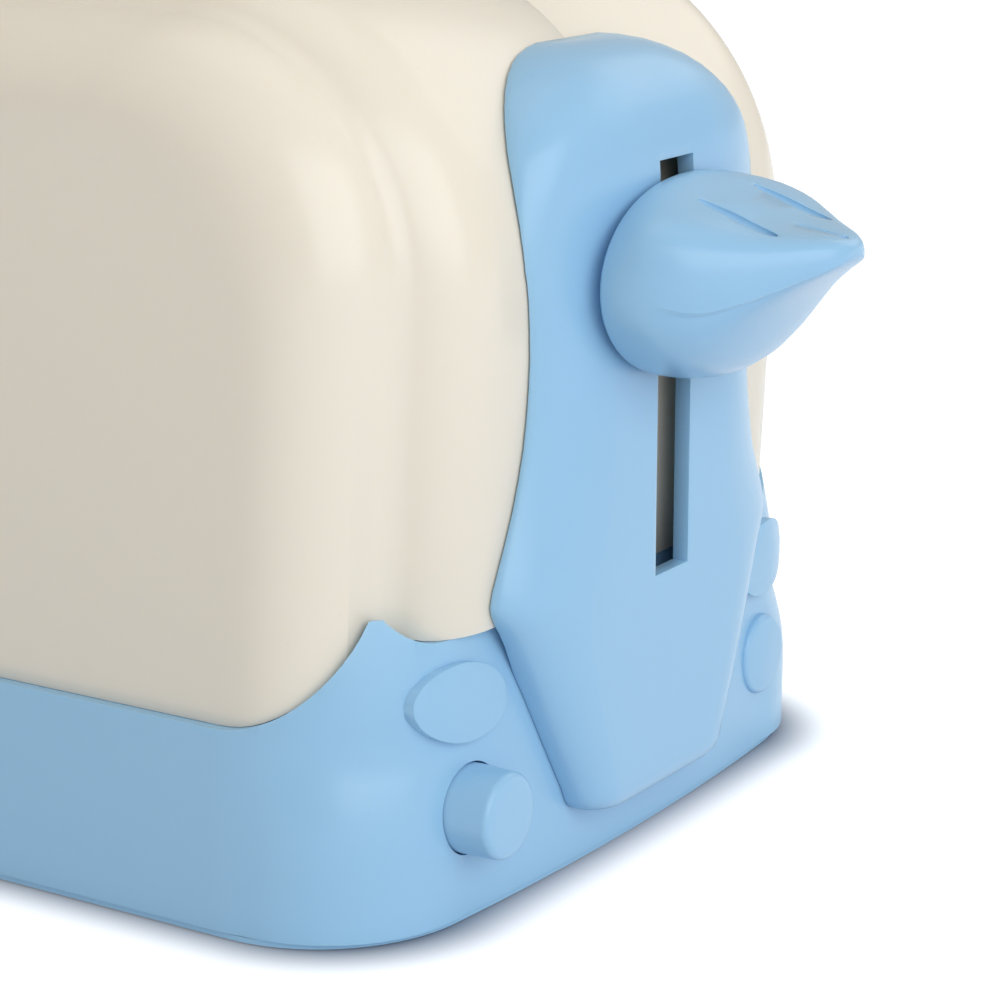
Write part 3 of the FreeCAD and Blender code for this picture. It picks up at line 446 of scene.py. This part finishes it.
def creamHalf():
    half = sliceOutline()
    drop = cream["side"] - cream["valleySide"]
    fall = cream["top"] - cream["valleyTop"]
    tighten = cream["arch"] - cream["valleyArch"]

    def widths(share):
        # what an inset of this share should leave, against what it leaves
        return ((cream["side"] - drop * share) / (cream["side"] - tighten * share),
                (cream["top"] - fall * share) / (cream["top"] - tighten * share))

    y, share = cream["flatHalf"], 0.0
    for nextY, nextShare in shoulderPath(drop):
        if nextShare > share + cream["leastInset"]:
            bpy.ops.mesh.inset(thickness=(nextShare - share) * tighten * mm,
                               depth=(nextY - y) * mm, use_even_offset=True)
            before, after = widths(share), widths(nextShare)
            stretch(x=after[0] / before[0], z=after[1] / before[1])
            share = nextShare
        else:
            pullOut(y=y - nextY)
        y = nextY

    # the cheek rounds over to its flat face
    first = math.asin((y - cream["cheekStart"]) / cream["cheekOut"])
    size = 1.0
    for step in range(1, cream["cheekSteps"] + 1):
        angle = first + (math.pi / 2 - first) * step / cream["cheekSteps"]
        nextY = cream["cheekStart"] + cream["cheekOut"] * math.sin(angle)
        nextSize = 1 - (1 - cream["cheekShrink"]) * (1 - math.cos(angle))
        pullOut(y=y - nextY)
        stretch(x=nextSize / size, z=nextSize / size, about=(0, 0, cream["cheekAim"]))
        y, size = nextY, nextSize

    # ends lean in towards the foot
    pickPoints(half, lambda p: p.z < 0)
    stretch(x=1 - cream["lean"])
    pickFaces(half, lambda middle, way: way.y > facing or way.z < -facing)
    bpy.ops.mesh.delete(type="FACE")
    dropAll()
    return half


def onSlotLip(a, b):
    # both ends lie on the slot's outline in the top face
    for p in (a, b):
        past = abs(p.x) - slots["half"]
        aside = abs(abs(p.y) - slots["offset"]) - slots["width"] / 2
        if p.z <= cream["top"] - slots["lip"] or max(past, aside) >= slots["near"]:
            return False
        if past <= -slots["corner"] and aside <= -slots["near"]:
            return False
    return True


outer = creamHalf()
turnOut(outer)

# closed copy of the whole body, to cut the end panel against
bodyForm = copyOf(outer, "bodyForm")
openWhole(bodyForm, "EDGE")
bpy.ops.mesh.duplicate()
stretch(y=-1)
bpy.ops.mesh.select_all(action="SELECT")
bpy.ops.mesh.remove_doubles(threshold=2 * mergeGap * mm)
bpy.ops.mesh.select_all(action="DESELECT")
bpy.ops.mesh.select_non_manifold()
bpy.ops.mesh.edge_face_add()
dropAll()
turnOut(bodyForm)

giveWall(outer, cream["wall"])
openWhole(outer)
slide(y=-cream["seam"] / 2)
dropAll()
carve(outer, collarPiece(cream["rimGap"]))

# the bread slot with its rounded lip, and the window that the lever's stem moves in
slotSide = slots["width"] / 2
slotTool = blockPiece("slotTool", (-slots["half"], -slots["offset"] - slotSide, slots["depth"]),
                      (slots["half"], -slots["offset"] + slotSide, slots["above"]))
openUp(slotTool, "EDGE")
pickEdges(slotTool, lambda a, b: abs(a.z - b.z) > longEdge)
roundEdges(slots["corner"], slots["cornerSteps"])
dropAll()
carve(outer, slotTool)
carve(outer, blockPiece("window", cream["windowLow"], cream["windowHigh"]))
openUp(outer, "EDGE")
pickEdges(outer, onSlotLip)
roundEdges(slots["lip"], slots["lipSteps"])
dropAll()
softenEdges(outer, cream["soft"])
shadeSoft(outer)
outer.name = outer.data.name = "creamFront"
other = copyOf(outer, "creamRear")
openWhole(other)
stretch(y=-1)
bpy.ops.mesh.flip_normals()
dropAll()
settle(outer, "housing", "cream_plastic", creamPlastic, "front_shell")
settle(other, "housing", "cream_plastic", creamPlastic, "rear_shell")
print("body made")


# base: a tapering ring with bowed ends, pads on the ends and a scalloped rim

base = {"half": 88.3, "width": 60.0, "corner": 21.0, "cornerSteps": 16, "bow": 455.0,
        "endCuts": 11, "pairGap": 0.002, "low": 0.8, "top": 40.0, "steps": 14, "draftStart": 10.0,
        "draftEnd": 40.0, "draftLength": 2.4, "draftWidth": 4.0, "wall": 2.2, "rimSoft": 0.35,
        "fullLow": 12.0, "fullRise": 20.0, "fullOut": 1.7, "fullIn": 1.1}
pads = {"side": 39.0, "height": 28.3, "halfWidth": 8.3, "halfHeight": 4.9, "raise": 1.1,
        "tilt": -8.0, "out": 80, "deep": 50, "sides": 72, "inner": (0.985, 0.98), "soft": 0.45}
button = {"side": -37.7, "height": 14.3, "radius": 5.75, "fit": 0.15, "taper": 0.2, "rim": 0.9,
          "rimSteps": 5, "face": 92.5, "dish": 0.05, "dishRadius": 2.0, "flange": 6.4,
          "flangeAt": 81.4, "flangeThick": 1.6, "plunger": 2.5, "plungerEnd": 61.5,
          "sides": 64, "soft": 0.15, "holeAt": 88, "holeDeep": 30, "discFace": 87.7,
          "discDeep": 6.0, "discSoft": 0.7}


def draftAt(height):
    # half length and half width of the base at a height
    rise = (height - base["draftStart"]) / (base["draftEnd"] - base["draftStart"])
    rise = max(0.0, rise)
    return (base["half"] - base["draftLength"] * rise ** 2,
            base["width"] - base["draftWidth"] * rise ** 1.5)


def basePlan(name):
    dropAll()
    bpy.ops.mesh.primitive_plane_add(size=2 * mm, location=(0, 0, base["low"] * mm))
    plan = named(name)
    openWhole(plan, "VERT")
    stretch(x=base["half"], y=base["width"])
    bpy.ops.mesh.bevel(offset=base["corner"] * mm, segments=base["cornerSteps"], profile=0.5,
                       affect="VERTICES")
    pickEdges(plan, lambda a, b: abs(a.y - b.y) > base["corner"])
    bpy.ops.mesh.subdivide(number_cuts=base["endCuts"])
    # bow the ends, one pair of points after the other
    shape = bmesh.from_edit_mesh(plan.data)
    sides = sorted({round(abs(point.co.y / mm), 3) for point in shape.verts})
    for side in sides:
        for end in (-1, 1):
            pickPoints(plan, lambda p: abs(abs(p.y) - side) < base["pairGap"] and p.x * end > 0)
            slide(x=-end * side ** 2 / (2 * base["bow"]))
    return plan


def fillCorners(form):
    # the corners stand fuller at the foot and draw in below the rim
    shape = bmesh.from_edit_mesh(form.data)
    for point in shape.verts:
        x, y, height = (number / mm for number in point.co)
        across, along = draftAt(height)
        out = abs(x) - across + base["corner"]
        aside = abs(y) - along + base["corner"]
        if out > 0 and aside > 0:
            rise = min(1.0, max(0.0, (height - base["fullLow"]) / base["fullRise"]))
            rise = rise * rise * (3 - 2 * rise)
            push = base["fullOut"] - (base["fullOut"] + base["fullIn"]) * rise
            angle = math.atan2(aside, out)
            push *= math.sin(2 * angle)
            point.co.x += math.copysign(push * math.cos(angle), x) * mm
            point.co.y += math.copysign(push * math.sin(angle), y) * mm
    bmesh.update_edit_mesh(form.data)


def baseForm(name):
    form = basePlan(name)
    bpy.ops.mesh.select_all(action="SELECT")
    height = base["low"]
    for step in range(1, base["steps"] + 1):
        nextHeight = base["low"] + (base["top"] - base["low"]) * step / base["steps"]
        pullOut(z=nextHeight - height)
        before, after = draftAt(height), draftAt(nextHeight)
        stretch(x=after[0] / before[0], y=after[1] / before[1])
        height = nextHeight
    fillCorners(form)
    dropAll()
    turnOut(form)
    return form


def isBaseEnd(middle, way):
    # the base's flat underside and top
    return abs(way.z) > facing and (middle.z < base["low"] + 1 or middle.z > base["top"] - 1)


baseSolid = baseForm("baseSolid")
ring = copyOf(baseSolid, "baseShell")
openUp(ring)
pickFaces(ring, isBaseEnd)
bpy.ops.mesh.delete(type="FACE")
dropAll()
giveWall(ring, base["wall"])

# the oval pads follow the base's own surface; the disc and the button's hole are round
for sign in (-1, 1):
    middle = (pads["out"], sign * pads["side"], pads["height"])
    pad = roundPiece("pad", 1, pads["deep"], middle, sides=pads["sides"])
    openWhole(pad)
    stretch(y=pads["halfWidth"], z=pads["halfHeight"], about=middle)
    tiltBy(sign * pads["tilt"], "X", about=middle)
    dropAll()
    skin = sizedCopy(baseSolid, "skin", 1 + pads["raise"] / base["half"],
                     1 + pads["raise"] / base["width"])
    carve(pad, skin, "INTERSECT")
    carve(pad, sizedCopy(baseSolid, "inner", *pads["inner"]))
    softenEdges(pad, pads["soft"], steps=3, angle=60)
    carve(ring, pad, "UNION")
disc = roundPiece("disc", button["radius"], button["discDeep"],
                  (button["discFace"] - button["discDeep"] / 2, -button["side"], button["height"]))
softenEdges(disc, button["discSoft"], steps=3, angle=60)
carve(ring, disc, "UNION")
carve(ring, collarPiece(0), "INTERSECT")
carve(ring, roundPiece("hole", button["radius"] + button["fit"], button["holeDeep"],
                       (button["holeAt"], button["side"], button["height"])))
softenEdges(ring, base["rimSoft"], steps=3, angle=50)
shadeSoft(ring)
settle(ring, "housing", "blue_plastic", bluePlastic, "base_shell")
print("base made")


# end panel: a tall shield with a broad soft edge, hollow behind

panel = {"face": 93.3, "wall": 2.2, "slotWidth": 8.5, "slotLow": 36.9, "slotHigh": 90.7,
         "slotFrom": 70, "slotTo": 100, "columns": 40, "crownStart": 86.0, "crownEnd": 104.8,
         "crownDrop": 15.0, "crownPower": 2.6, "footStart": 9.6, "footDepth": 2.3,
         "footDrop": 1.8, "sidePower": 2.0, "pillowPower": 2.2, "pillowStart": 80.0,
         "pillowRise": 16.0, "footPillow": 48.0, "pillowLeast": 0.3, "edge": 1.5, "tail": 1.0,
         "back": 72.0, "roomWide": 0.915, "roomTall": 0.95, "roomMiddle": 56.0,
         "bodyGap": 1.003, "baseGap": 1.002, "soft": 0.25}
panelRows = (  # height, half width, half of the flat middle, how far out the edge lies
    (7.4, 13.8, 9.0, 88.9), (7.7, 15.6, 10, 88.8), (8.4, 17.1, 11, 88.7), (9.6, 18.0, 12, 88.6),
    (11.2, 18.7, 12, 88.5), (13.8, 20.2, 13, 88.3), (19, 23.0, 14.6, 88.0),
    (23, 25.0, 15.8, 87.7), (26.5, 26.7, 16.8, 87.3), (30, 28.5, 17.4, 86.9),
    (33, 30.2, 17.6, 86.6), (35, 31.6, 17.4, 86.6), (36.6, 32.9, 17, 86.9),
    (38, 33.7, 16.6, 87.1), (39.1, 34.0, 16, 87.2), (41, 33.6, 15.5, 87.4),
    (43.5, 32.6, 15, 87.6), (47, 31.1, 14, 87.8), (50.5, 29.8, 14, 88.0),
    (54.1, 28.8, 14, 88.1), (57.7, 28.0, 14, 88.2), (61.4, 27.6, 13.5, 88.4),
    (65.1, 27.4, 13, 88.5), (68.9, 27.4, 12, 88.6), (72.6, 27.8, 11, 88.7),
    (76.4, 28.4, 10, 88.8), (80.1, 28.9, 9, 88.6), (83.7, 28.9, 8.5, 88.1), (87.2, 28.6, 8, 87.3),
    (89, 28.3, 8, 86.8), (90.6, 27.9, 8, 86.2), (92.3, 27.4, 7.8, 85.5), (93.9, 26.7, 7.5, 84.8),
    (95.5, 25.7, 7.2, 83.9), (97.1, 24.5, 7, 82.9), (98.7, 22.9, 6, 81.8), (100.3, 20.9, 5, 80.7),
    (101.8, 18.4, 3.5, 79.5), (103.0, 15.7, 2, 78.4), (103.8, 13.2, 1, 77.7),
    (104.4, 10.2, 0, 77.2), (104.7, 7.5, 0, 76.9))


def rounded(share, power):
    return 1 - max(0.0, 1 - share ** power) ** (1 / power)


def panelSurface(across, height, flat, half, edge):
    # how far out the face lies: flat in the middle, soft at the edges, fuller at both ends
    crown = (height - panel["crownStart"]) / (panel["crownEnd"] - panel["crownStart"])
    foot = (panel["footStart"] - height) / panel["footDepth"]
    middle = panel["face"] - panel["crownDrop"] * rounded(max(0.0, crown), panel["crownPower"])
    middle -= panel["footDrop"] * rounded(max(0.0, foot), 2)
    share = max(0.0, (abs(across) - flat) / (half - flat))
    pillow = max((height - panel["pillowStart"]) / panel["pillowRise"],
                 (panel["footPillow"] - height) / panel["pillowRise"])
    pillow = min(1.0, max(0.0, pillow))
    pillow = panel["pillowLeast"] + (1 - panel["pillowLeast"]) * pillow * pillow * (3 - 2 * pillow)
    drop = ((1 - pillow) * share ** panel["sidePower"]
            + pillow * rounded(share, panel["pillowPower"]))
    return middle - (middle - edge) * drop


def shield():
    dropAll()
    bpy.ops.mesh.primitive_grid_add(x_subdivisions=len(panelRows) - 1,
                                    y_subdivisions=panel["columns"], size=1,
                                    location=(0, 0, 0), rotation=(0, -math.pi / 2, 0))
    front = named("endPanel")
    openUp(front, "VERT")
    shape = bmesh.from_edit_mesh(front.data)
    levels = {}
    for point in shape.verts:
        levels.setdefault(round(point.co.z, 5), []).append(point)
    for level, (height, half, flat, edge) in zip(sorted(levels), panelRows):
        for point in levels[level]:
            across = math.sin(point.co.y * math.pi) * half
            out = panelSurface(across, height, flat, half, edge)
            point.co = [place * mm for place in (out, across, height)]
    bmesh.update_edit_mesh(front.data)
    dropAll()
    return front


front = shield()
openUp(front, "EDGE")
bpy.ops.mesh.select_non_manifold()
pullOut(x=-panel["edge"])
pullOut(x=-panel["tail"])
stretch(x=0, about=(panel["back"], 0, 0))
bpy.ops.mesh.edge_face_add()
dropAll()
turnOut(front)
room = copyOf(front, "room")
openWhole(room)
stretch(y=panel["roomWide"], z=panel["roomTall"], about=(0, 0, panel["roomMiddle"]))
slide(x=-panel["wall"])
dropAll()
# the body and the base, a hair larger, take away what would run into them
openWhole(bodyForm)
stretch(x=panel["bodyGap"], z=panel["bodyGap"])
openWhole(baseSolid)
stretch(x=panel["baseGap"])
dropAll()
carve(front, bodyForm)
carve(front, baseSolid)
carve(front, room)
slotSide = panel["slotWidth"] / 2
carve(front, blockPiece("leverSlot", (panel["slotFrom"], -slotSide, panel["slotLow"]),
                        (panel["slotTo"], slotSide, panel["slotHigh"])))
softenEdges(front, panel["soft"], angle=50)
shadeSoft(front, angle=38)
settle(front, "housing", "blue_plastic", bluePlastic, "end_panel")
print("end panel made")


# lever knob: a drum that carries a pointed leaf-like cap

knob = {"sides": 80, "socketLow": (93, -3.85, 68.9), "socketHigh": (104.3, 3.85, 84.1),
        "groove": {"size": (6.2, 1.25, 0.85), "tilt": -19.5, "place": (106.1, 7.25, 84.75)},
        "vein": {"size": (3.3, 0.4, 0.3), "tilt": -7.5, "place": (113.4, 0, 83.25)},
        "dot": {"size": (0.55, 0.55, 0.35), "tilt": 0, "place": (116.8, 0, 82.65)},
        "lensSides": (40, 20), "creaseGap": 0.001, "soft": 0.2}
knobSections = (  # how far out, crease height, top, bottom, half width, lower draw, squareness
    (94.0, 76.6, 88.5, 63.9, 20.1, 1.0, 2.1), (94.5, 76.6, 88.85, 63.5, 20.6, 1.0, 2.2),
    (95.6, 76.6, 88.75, 63.3, 20.8, 1.0, 2.4), (97.0, 76.5, 88.3, 63.3, 20.9, 1.0, 2.8),
    (98.5, 76.4, 87.7, 63.35, 20.9, 1.0, 3.3), (100.0, 76.2, 87.05, 63.6, 20.7, 1.0, 3.9),
    (101.5, 75.8, 86.5, 63.9, 20.2, 0.99, 4.3), (103.0, 75.4, 86.0, 64.5, 19.5, 0.98, 4.6),
    (104.5, 75.0, 85.5, 65.5, 18.7, 0.97, 4.7), (106.0, 74.85, 84.95, 67.2, 17.6, 0.96, 4.8),
    (107.5, 75.0, 84.4, 69.3, 16.3, 0.95, 4.8), (109.0, 75.5, 83.95, 71.4, 14.9, 0.94, 4.7),
    (110.5, 76.0, 83.6, 73.3, 13.2, 0.92, 4.5), (112.0, 76.7, 83.4, 74.8, 11.4, 0.91, 4.3),
    (113.5, 77.4, 83.2, 76.1, 9.6, 0.91, 4.1), (115.0, 78.2, 83.0, 77.3, 7.7, 0.92, 3.9),
    (116.3, 78.8, 82.8, 78.2, 6.0, 0.94, 3.6), (117.2, 79.3, 82.55, 78.85, 4.7, 0.97, 3.3),
    (117.9, 79.8, 82.25, 79.45, 3.5, 1.0, 3.0), (118.3, 80.2, 81.95, 79.95, 2.4, 1.0, 2.6),
    (118.5, 80.6, 81.6, 80.4, 1.3, 1.0, 2.2))


def squared(share, power):
    # a coordinate of a point on the unit circle, pushed out towards a square
    return math.copysign(abs(share) ** (2 / power), share)


def knobForm():
    # one ring for each section, its upper and lower halves sized apart, then all bridged
    dropAll()
    for number, section in enumerate(knobSections):
        out, crease, top, bottom, half, drawn, power = section
        bpy.ops.mesh.primitive_circle_add(vertices=knob["sides"], radius=mm,
                                          location=(out * mm, 0, crease * mm),
                                          rotation=(0, math.pi / 2, 0))
        if number == 0:
            form = named("leverKnob")
            openWhole(form, "VERT")
        shape = bmesh.from_edit_mesh(form.data)
        for point in shape.verts:
            if point.select:
                across, up = point.co.y / mm, point.co.z / mm - crease
                if up > knob["creaseGap"]:
                    across = squared(across, power) * half
                    up = squared(up, power) * (top - crease)
                elif up < -knob["creaseGap"]:
                    across, up = across * half * drawn, up * (crease - bottom)
                else:
                    across, up = across * half, 0
                point.co.y, point.co.z = across * mm, (crease + up) * mm
        bmesh.update_edit_mesh(form.data)
    bpy.ops.mesh.select_mode(type="EDGE")
    bpy.ops.mesh.select_all(action="SELECT")
    bpy.ops.mesh.bridge_edge_loops()
    for end in (knobSections[0][0], knobSections[-1][0]):
        pickEdges(form, lambda a, b: abs(a.x - end) < mergeGap and abs(b.x - end) < mergeGap)
        bpy.ops.mesh.edge_face_add()
    dropAll()
    turnOut(form)
    return form


def lensPiece(mark, side=1):
    # a flat lens that leaves a groove, on the near side or mirrored to the far side
    segments, rings = knob["lensSides"]
    dropAll()
    bpy.ops.mesh.primitive_uv_sphere_add(segments=segments, ring_count=rings, radius=mm,
                                         location=(0, 0, 0))
    lens = named("groove")
    openWhole(lens)
    stretch(*mark["size"])
    tiltBy(mark["tilt"], "Y")
    x, y, z = mark["place"]
    slide(x, side * y, z)
    dropAll()
    return lens


handle = knobForm()
carve(handle, blockPiece("socket", knob["socketLow"], knob["socketHigh"]))
for side in (-1, 1):
    carve(handle, lensPiece(knob["groove"], side))
carve(handle, lensPiece(knob["vein"]))
carve(handle, lensPiece(knob["dot"]))
softenEdges(handle, knob["soft"], angle=28)
shadeSoft(handle, angle=26)
settle(handle, "lever", "blue_plastic", bluePlastic, "lever_knob")
print("knob made")


# release button: a turned cap with its flange and plunger

def buttonProfile():
    # places out and radii, from the plunger's end to the middle of the face
    back = button["flangeAt"] - button["flangeThick"]
    narrow = button["radius"] - button["taper"]
    profile = [(back, button["plunger"]), (back, button["flange"]),
               (button["flangeAt"], button["flange"]), (button["flangeAt"], button["radius"]),
               (button["face"] - button["rim"], narrow)]
    for step in range(1, button["rimSteps"] + 1):
        angle = math.pi / 2 * step / button["rimSteps"]
        profile.append((button["face"] - button["rim"] * (1 - math.sin(angle)),
                        narrow - button["rim"] * (1 - math.cos(angle))))
    profile.append((button["face"] - button["dish"], button["dishRadius"]))
    return profile


def turnedButton():
    centre = (0, button["side"], button["height"])
    out, radius = button["plungerEnd"], button["plunger"]
    dropAll()
    bpy.ops.mesh.primitive_circle_add(vertices=button["sides"], radius=radius * mm,
                                      fill_type="NGON", rotation=(0, math.pi / 2, 0),
                                      location=(out * mm, centre[1] * mm, centre[2] * mm))
    cap = named("releaseButton")
    openWhole(cap, "VERT")
    for nextOut, nextRadius in buttonProfile():
        pullOut(x=nextOut - out)
        stretch(y=nextRadius / radius, z=nextRadius / radius, about=centre)
        out, radius = nextOut, nextRadius
    dropAll()
    turnOut(cap)
    return cap


cap = turnedButton()
softenEdges(cap, button["soft"], angle=60)
shadeSoft(cap, angle=30)
settle(cap, "button", "blue_plastic", bluePlastic, "release_button")
print("button made")


# what stays as it is, with its finish

plain = {"base_cover": bluePlastic, "chassis_plate": innerPlastic,
         "bread_well_front": innerPlastic, "bread_well_rear": innerPlastic,
         "carriage": innerPlastic, "cradle_front": innerPlastic, "cradle_rear": innerPlastic,
         "button_guide": innerPlastic, "catch_hook": innerPlastic, "rod_bridge": innerPlastic,
         "guide_rod_front": rodSteel, "guide_rod_rear": rodSteel, "catch_tongue": springSteel}
for name, piece in nodes.items():
    finish = plain.get(name)
    if finish is None and name.endswith("screws"):
        finish = screwSteel
    if finish is None and "spring" in name:
        finish = springSteel
    if finish is not None:
        piece.data.materials.clear()
        piece.data.materials.append(finish)
print("inner pieces finished")


# floor with a painted shadow round the object, backdrop and lights; the floor's size and the
# lamps' places and sizes are in m

# the camera sees the floor in the dark 'shadow' colour, and the white glow fades in only between
# the two fade distances out from the foot: a painted shadow round the object, on top of the lamps'
# real shadow
paper = {"size": 12, "drop": 0.2, "floor": (0.70, 0.72, 0.76), "shadow": (0.24, 0.30, 0.38),
         "rough": 0.9, "glow": 0.95, "paintedShadowFade": (17.5, 29.5), "foot": (67.3, 39, 10)}
air = {"tint": (1.0, 0.975, 0.92), "strength": 0.56}
lamps = {"key": {"place": (0.95, -0.42, 0.50), "aim": (0.06, -0.03, 0.06), "wide": 1.15,
                 "tall": 0.85, "power": 6.6, "tint": (0.91, 0.955, 1.0)},
         "top": {"place": (-0.05, 0.05, 1.15), "aim": (0, 0, 0.05), "wide": 0.8,
                 "tall": 0.8, "power": 0.9, "tint": (1.0, 1.0, 1.0)},
         "back": {"place": (0.35, 1.0, 0.75), "aim": (0.05, 0, 0.06), "wide": 0.9,
                  "tall": 0.6, "power": 1.3, "tint": (1.0, 1.0, 1.0)}}


def footDistance(tree):
    # how far a place on the floor lies outside the object's rounded foot, which sets where the
    # painted shadow gives way to white
    place = addNode(tree, "TexCoord")
    aside = addNode(tree, "VectorMath", operation="ABSOLUTE")
    past = addNode(tree, "VectorMath", {1: [number * mm for number in paper["foot"]]},
                   operation="SUBTRACT")
    outside = addNode(tree, "VectorMath", operation="MAXIMUM")
    reach = addNode(tree, "VectorMath", operation="LENGTH")
    join(tree, place, "Object", aside, 0)
    join(tree, aside, "Vector", past, 0)
    join(tree, past, "Vector", outside, 0)
    join(tree, outside, "Vector", reach, 0)
    return reach


def whiteFloorWithPaintedShadow():
    # seen from the camera and in reflections: the dark shadow colour, with a white glow that fades
    # in only away from the foot, so a painted shadow lies round the object; plain where it lights
    # the object and takes its real shadow
    made, tree, shader = newMaterial("floorPaper")
    setInputs(shader, {"Roughness": paper["rough"], "Specular IOR Level": 0.0})
    rise = addNode(tree, "MapRange",
                   {"From Min": paper["paintedShadowFade"][0] * mm, "From Max": paper["paintedShadowFade"][1] * mm,
                    "To Min": 0.0, "To Max": paper["glow"]}, interpolation_type="SMOOTHSTEP")
    join(tree, footDistance(tree), "Value", rise, "Value")
    glow = addNode(tree, "Emission")
    join(tree, rise, "Result", glow, "Strength")
    dark = addNode(tree, "Emission", {"Strength": 0})
    ray = addNode(tree, "LightPath")
    seenOnly = addNode(tree, "Math", operation="MAXIMUM")
    join(tree, ray, "Is Camera Ray", seenOnly, 0)
    join(tree, ray, "Is Glossy Ray", seenOnly, 1)
    tint = addNode(tree, "Mix", {"A": (*paper["floor"], 1), "B": (*paper["shadow"], 1)},
                   data_type="RGBA")
    join(tree, seenOnly, "Value", tint, "Factor")
    join(tree, tint, "Result", shader, "Base Color")
    chosen = addNode(tree, "MixShader")
    join(tree, seenOnly, "Value", chosen, "Fac")
    join(tree, dark, "Emission", chosen, 1)
    join(tree, glow, "Emission", chosen, 2)
    added = addNode(tree, "AddShader")
    join(tree, shader, "BSDF", added, 0)
    join(tree, chosen, "Shader", added, 1)
    join(tree, added, "Shader", tree.nodes["Material Output"], "Surface")
    return made


dropAll()
bpy.ops.mesh.primitive_plane_add(size=paper["size"], location=(0, 0, -paper["drop"] * mm))
floor = named("floor")
floor.data.materials.append(whiteFloorWithPaintedShadow())

# soft light from all round, and a white backdrop
world = bpy.data.worlds.new("studio")
bpy.context.scene.world = world
world.use_nodes = True
tree = world.node_tree
back = tree.nodes["Background"]
setInputs(back, {"Color": (*air["tint"], 1), "Strength": air["strength"]})
seen = addNode(tree, "Background", {"Color": (1, 1, 1, 1), "Strength": 1.0})
ray = addNode(tree, "LightPath")
mixed = addNode(tree, "MixShader")
join(tree, ray, "Is Camera Ray", mixed, "Fac")
join(tree, back, "Background", mixed, 1)
join(tree, seen, "Background", mixed, 2)
join(tree, mixed, "Shader", tree.nodes["World Output"], "Surface")

for name, lamp in lamps.items():
    light = bpy.data.lights.new(name, "AREA")
    light.shape = "RECTANGLE"
    light.size = lamp["wide"]
    light.size_y = lamp["tall"]
    light.energy = lamp["power"]
    light.color = lamp["tint"]
    holder = bpy.data.objects.new(name, light)
    bpy.context.scene.collection.objects.link(holder)
    holder.location = lamp["place"]
    way = Vector([a - b for a, b in zip(lamp["aim"], lamp["place"])])
    holder.rotation_euler = way.to_track_quat("-Z", "Y").to_euler()
print("lights set")
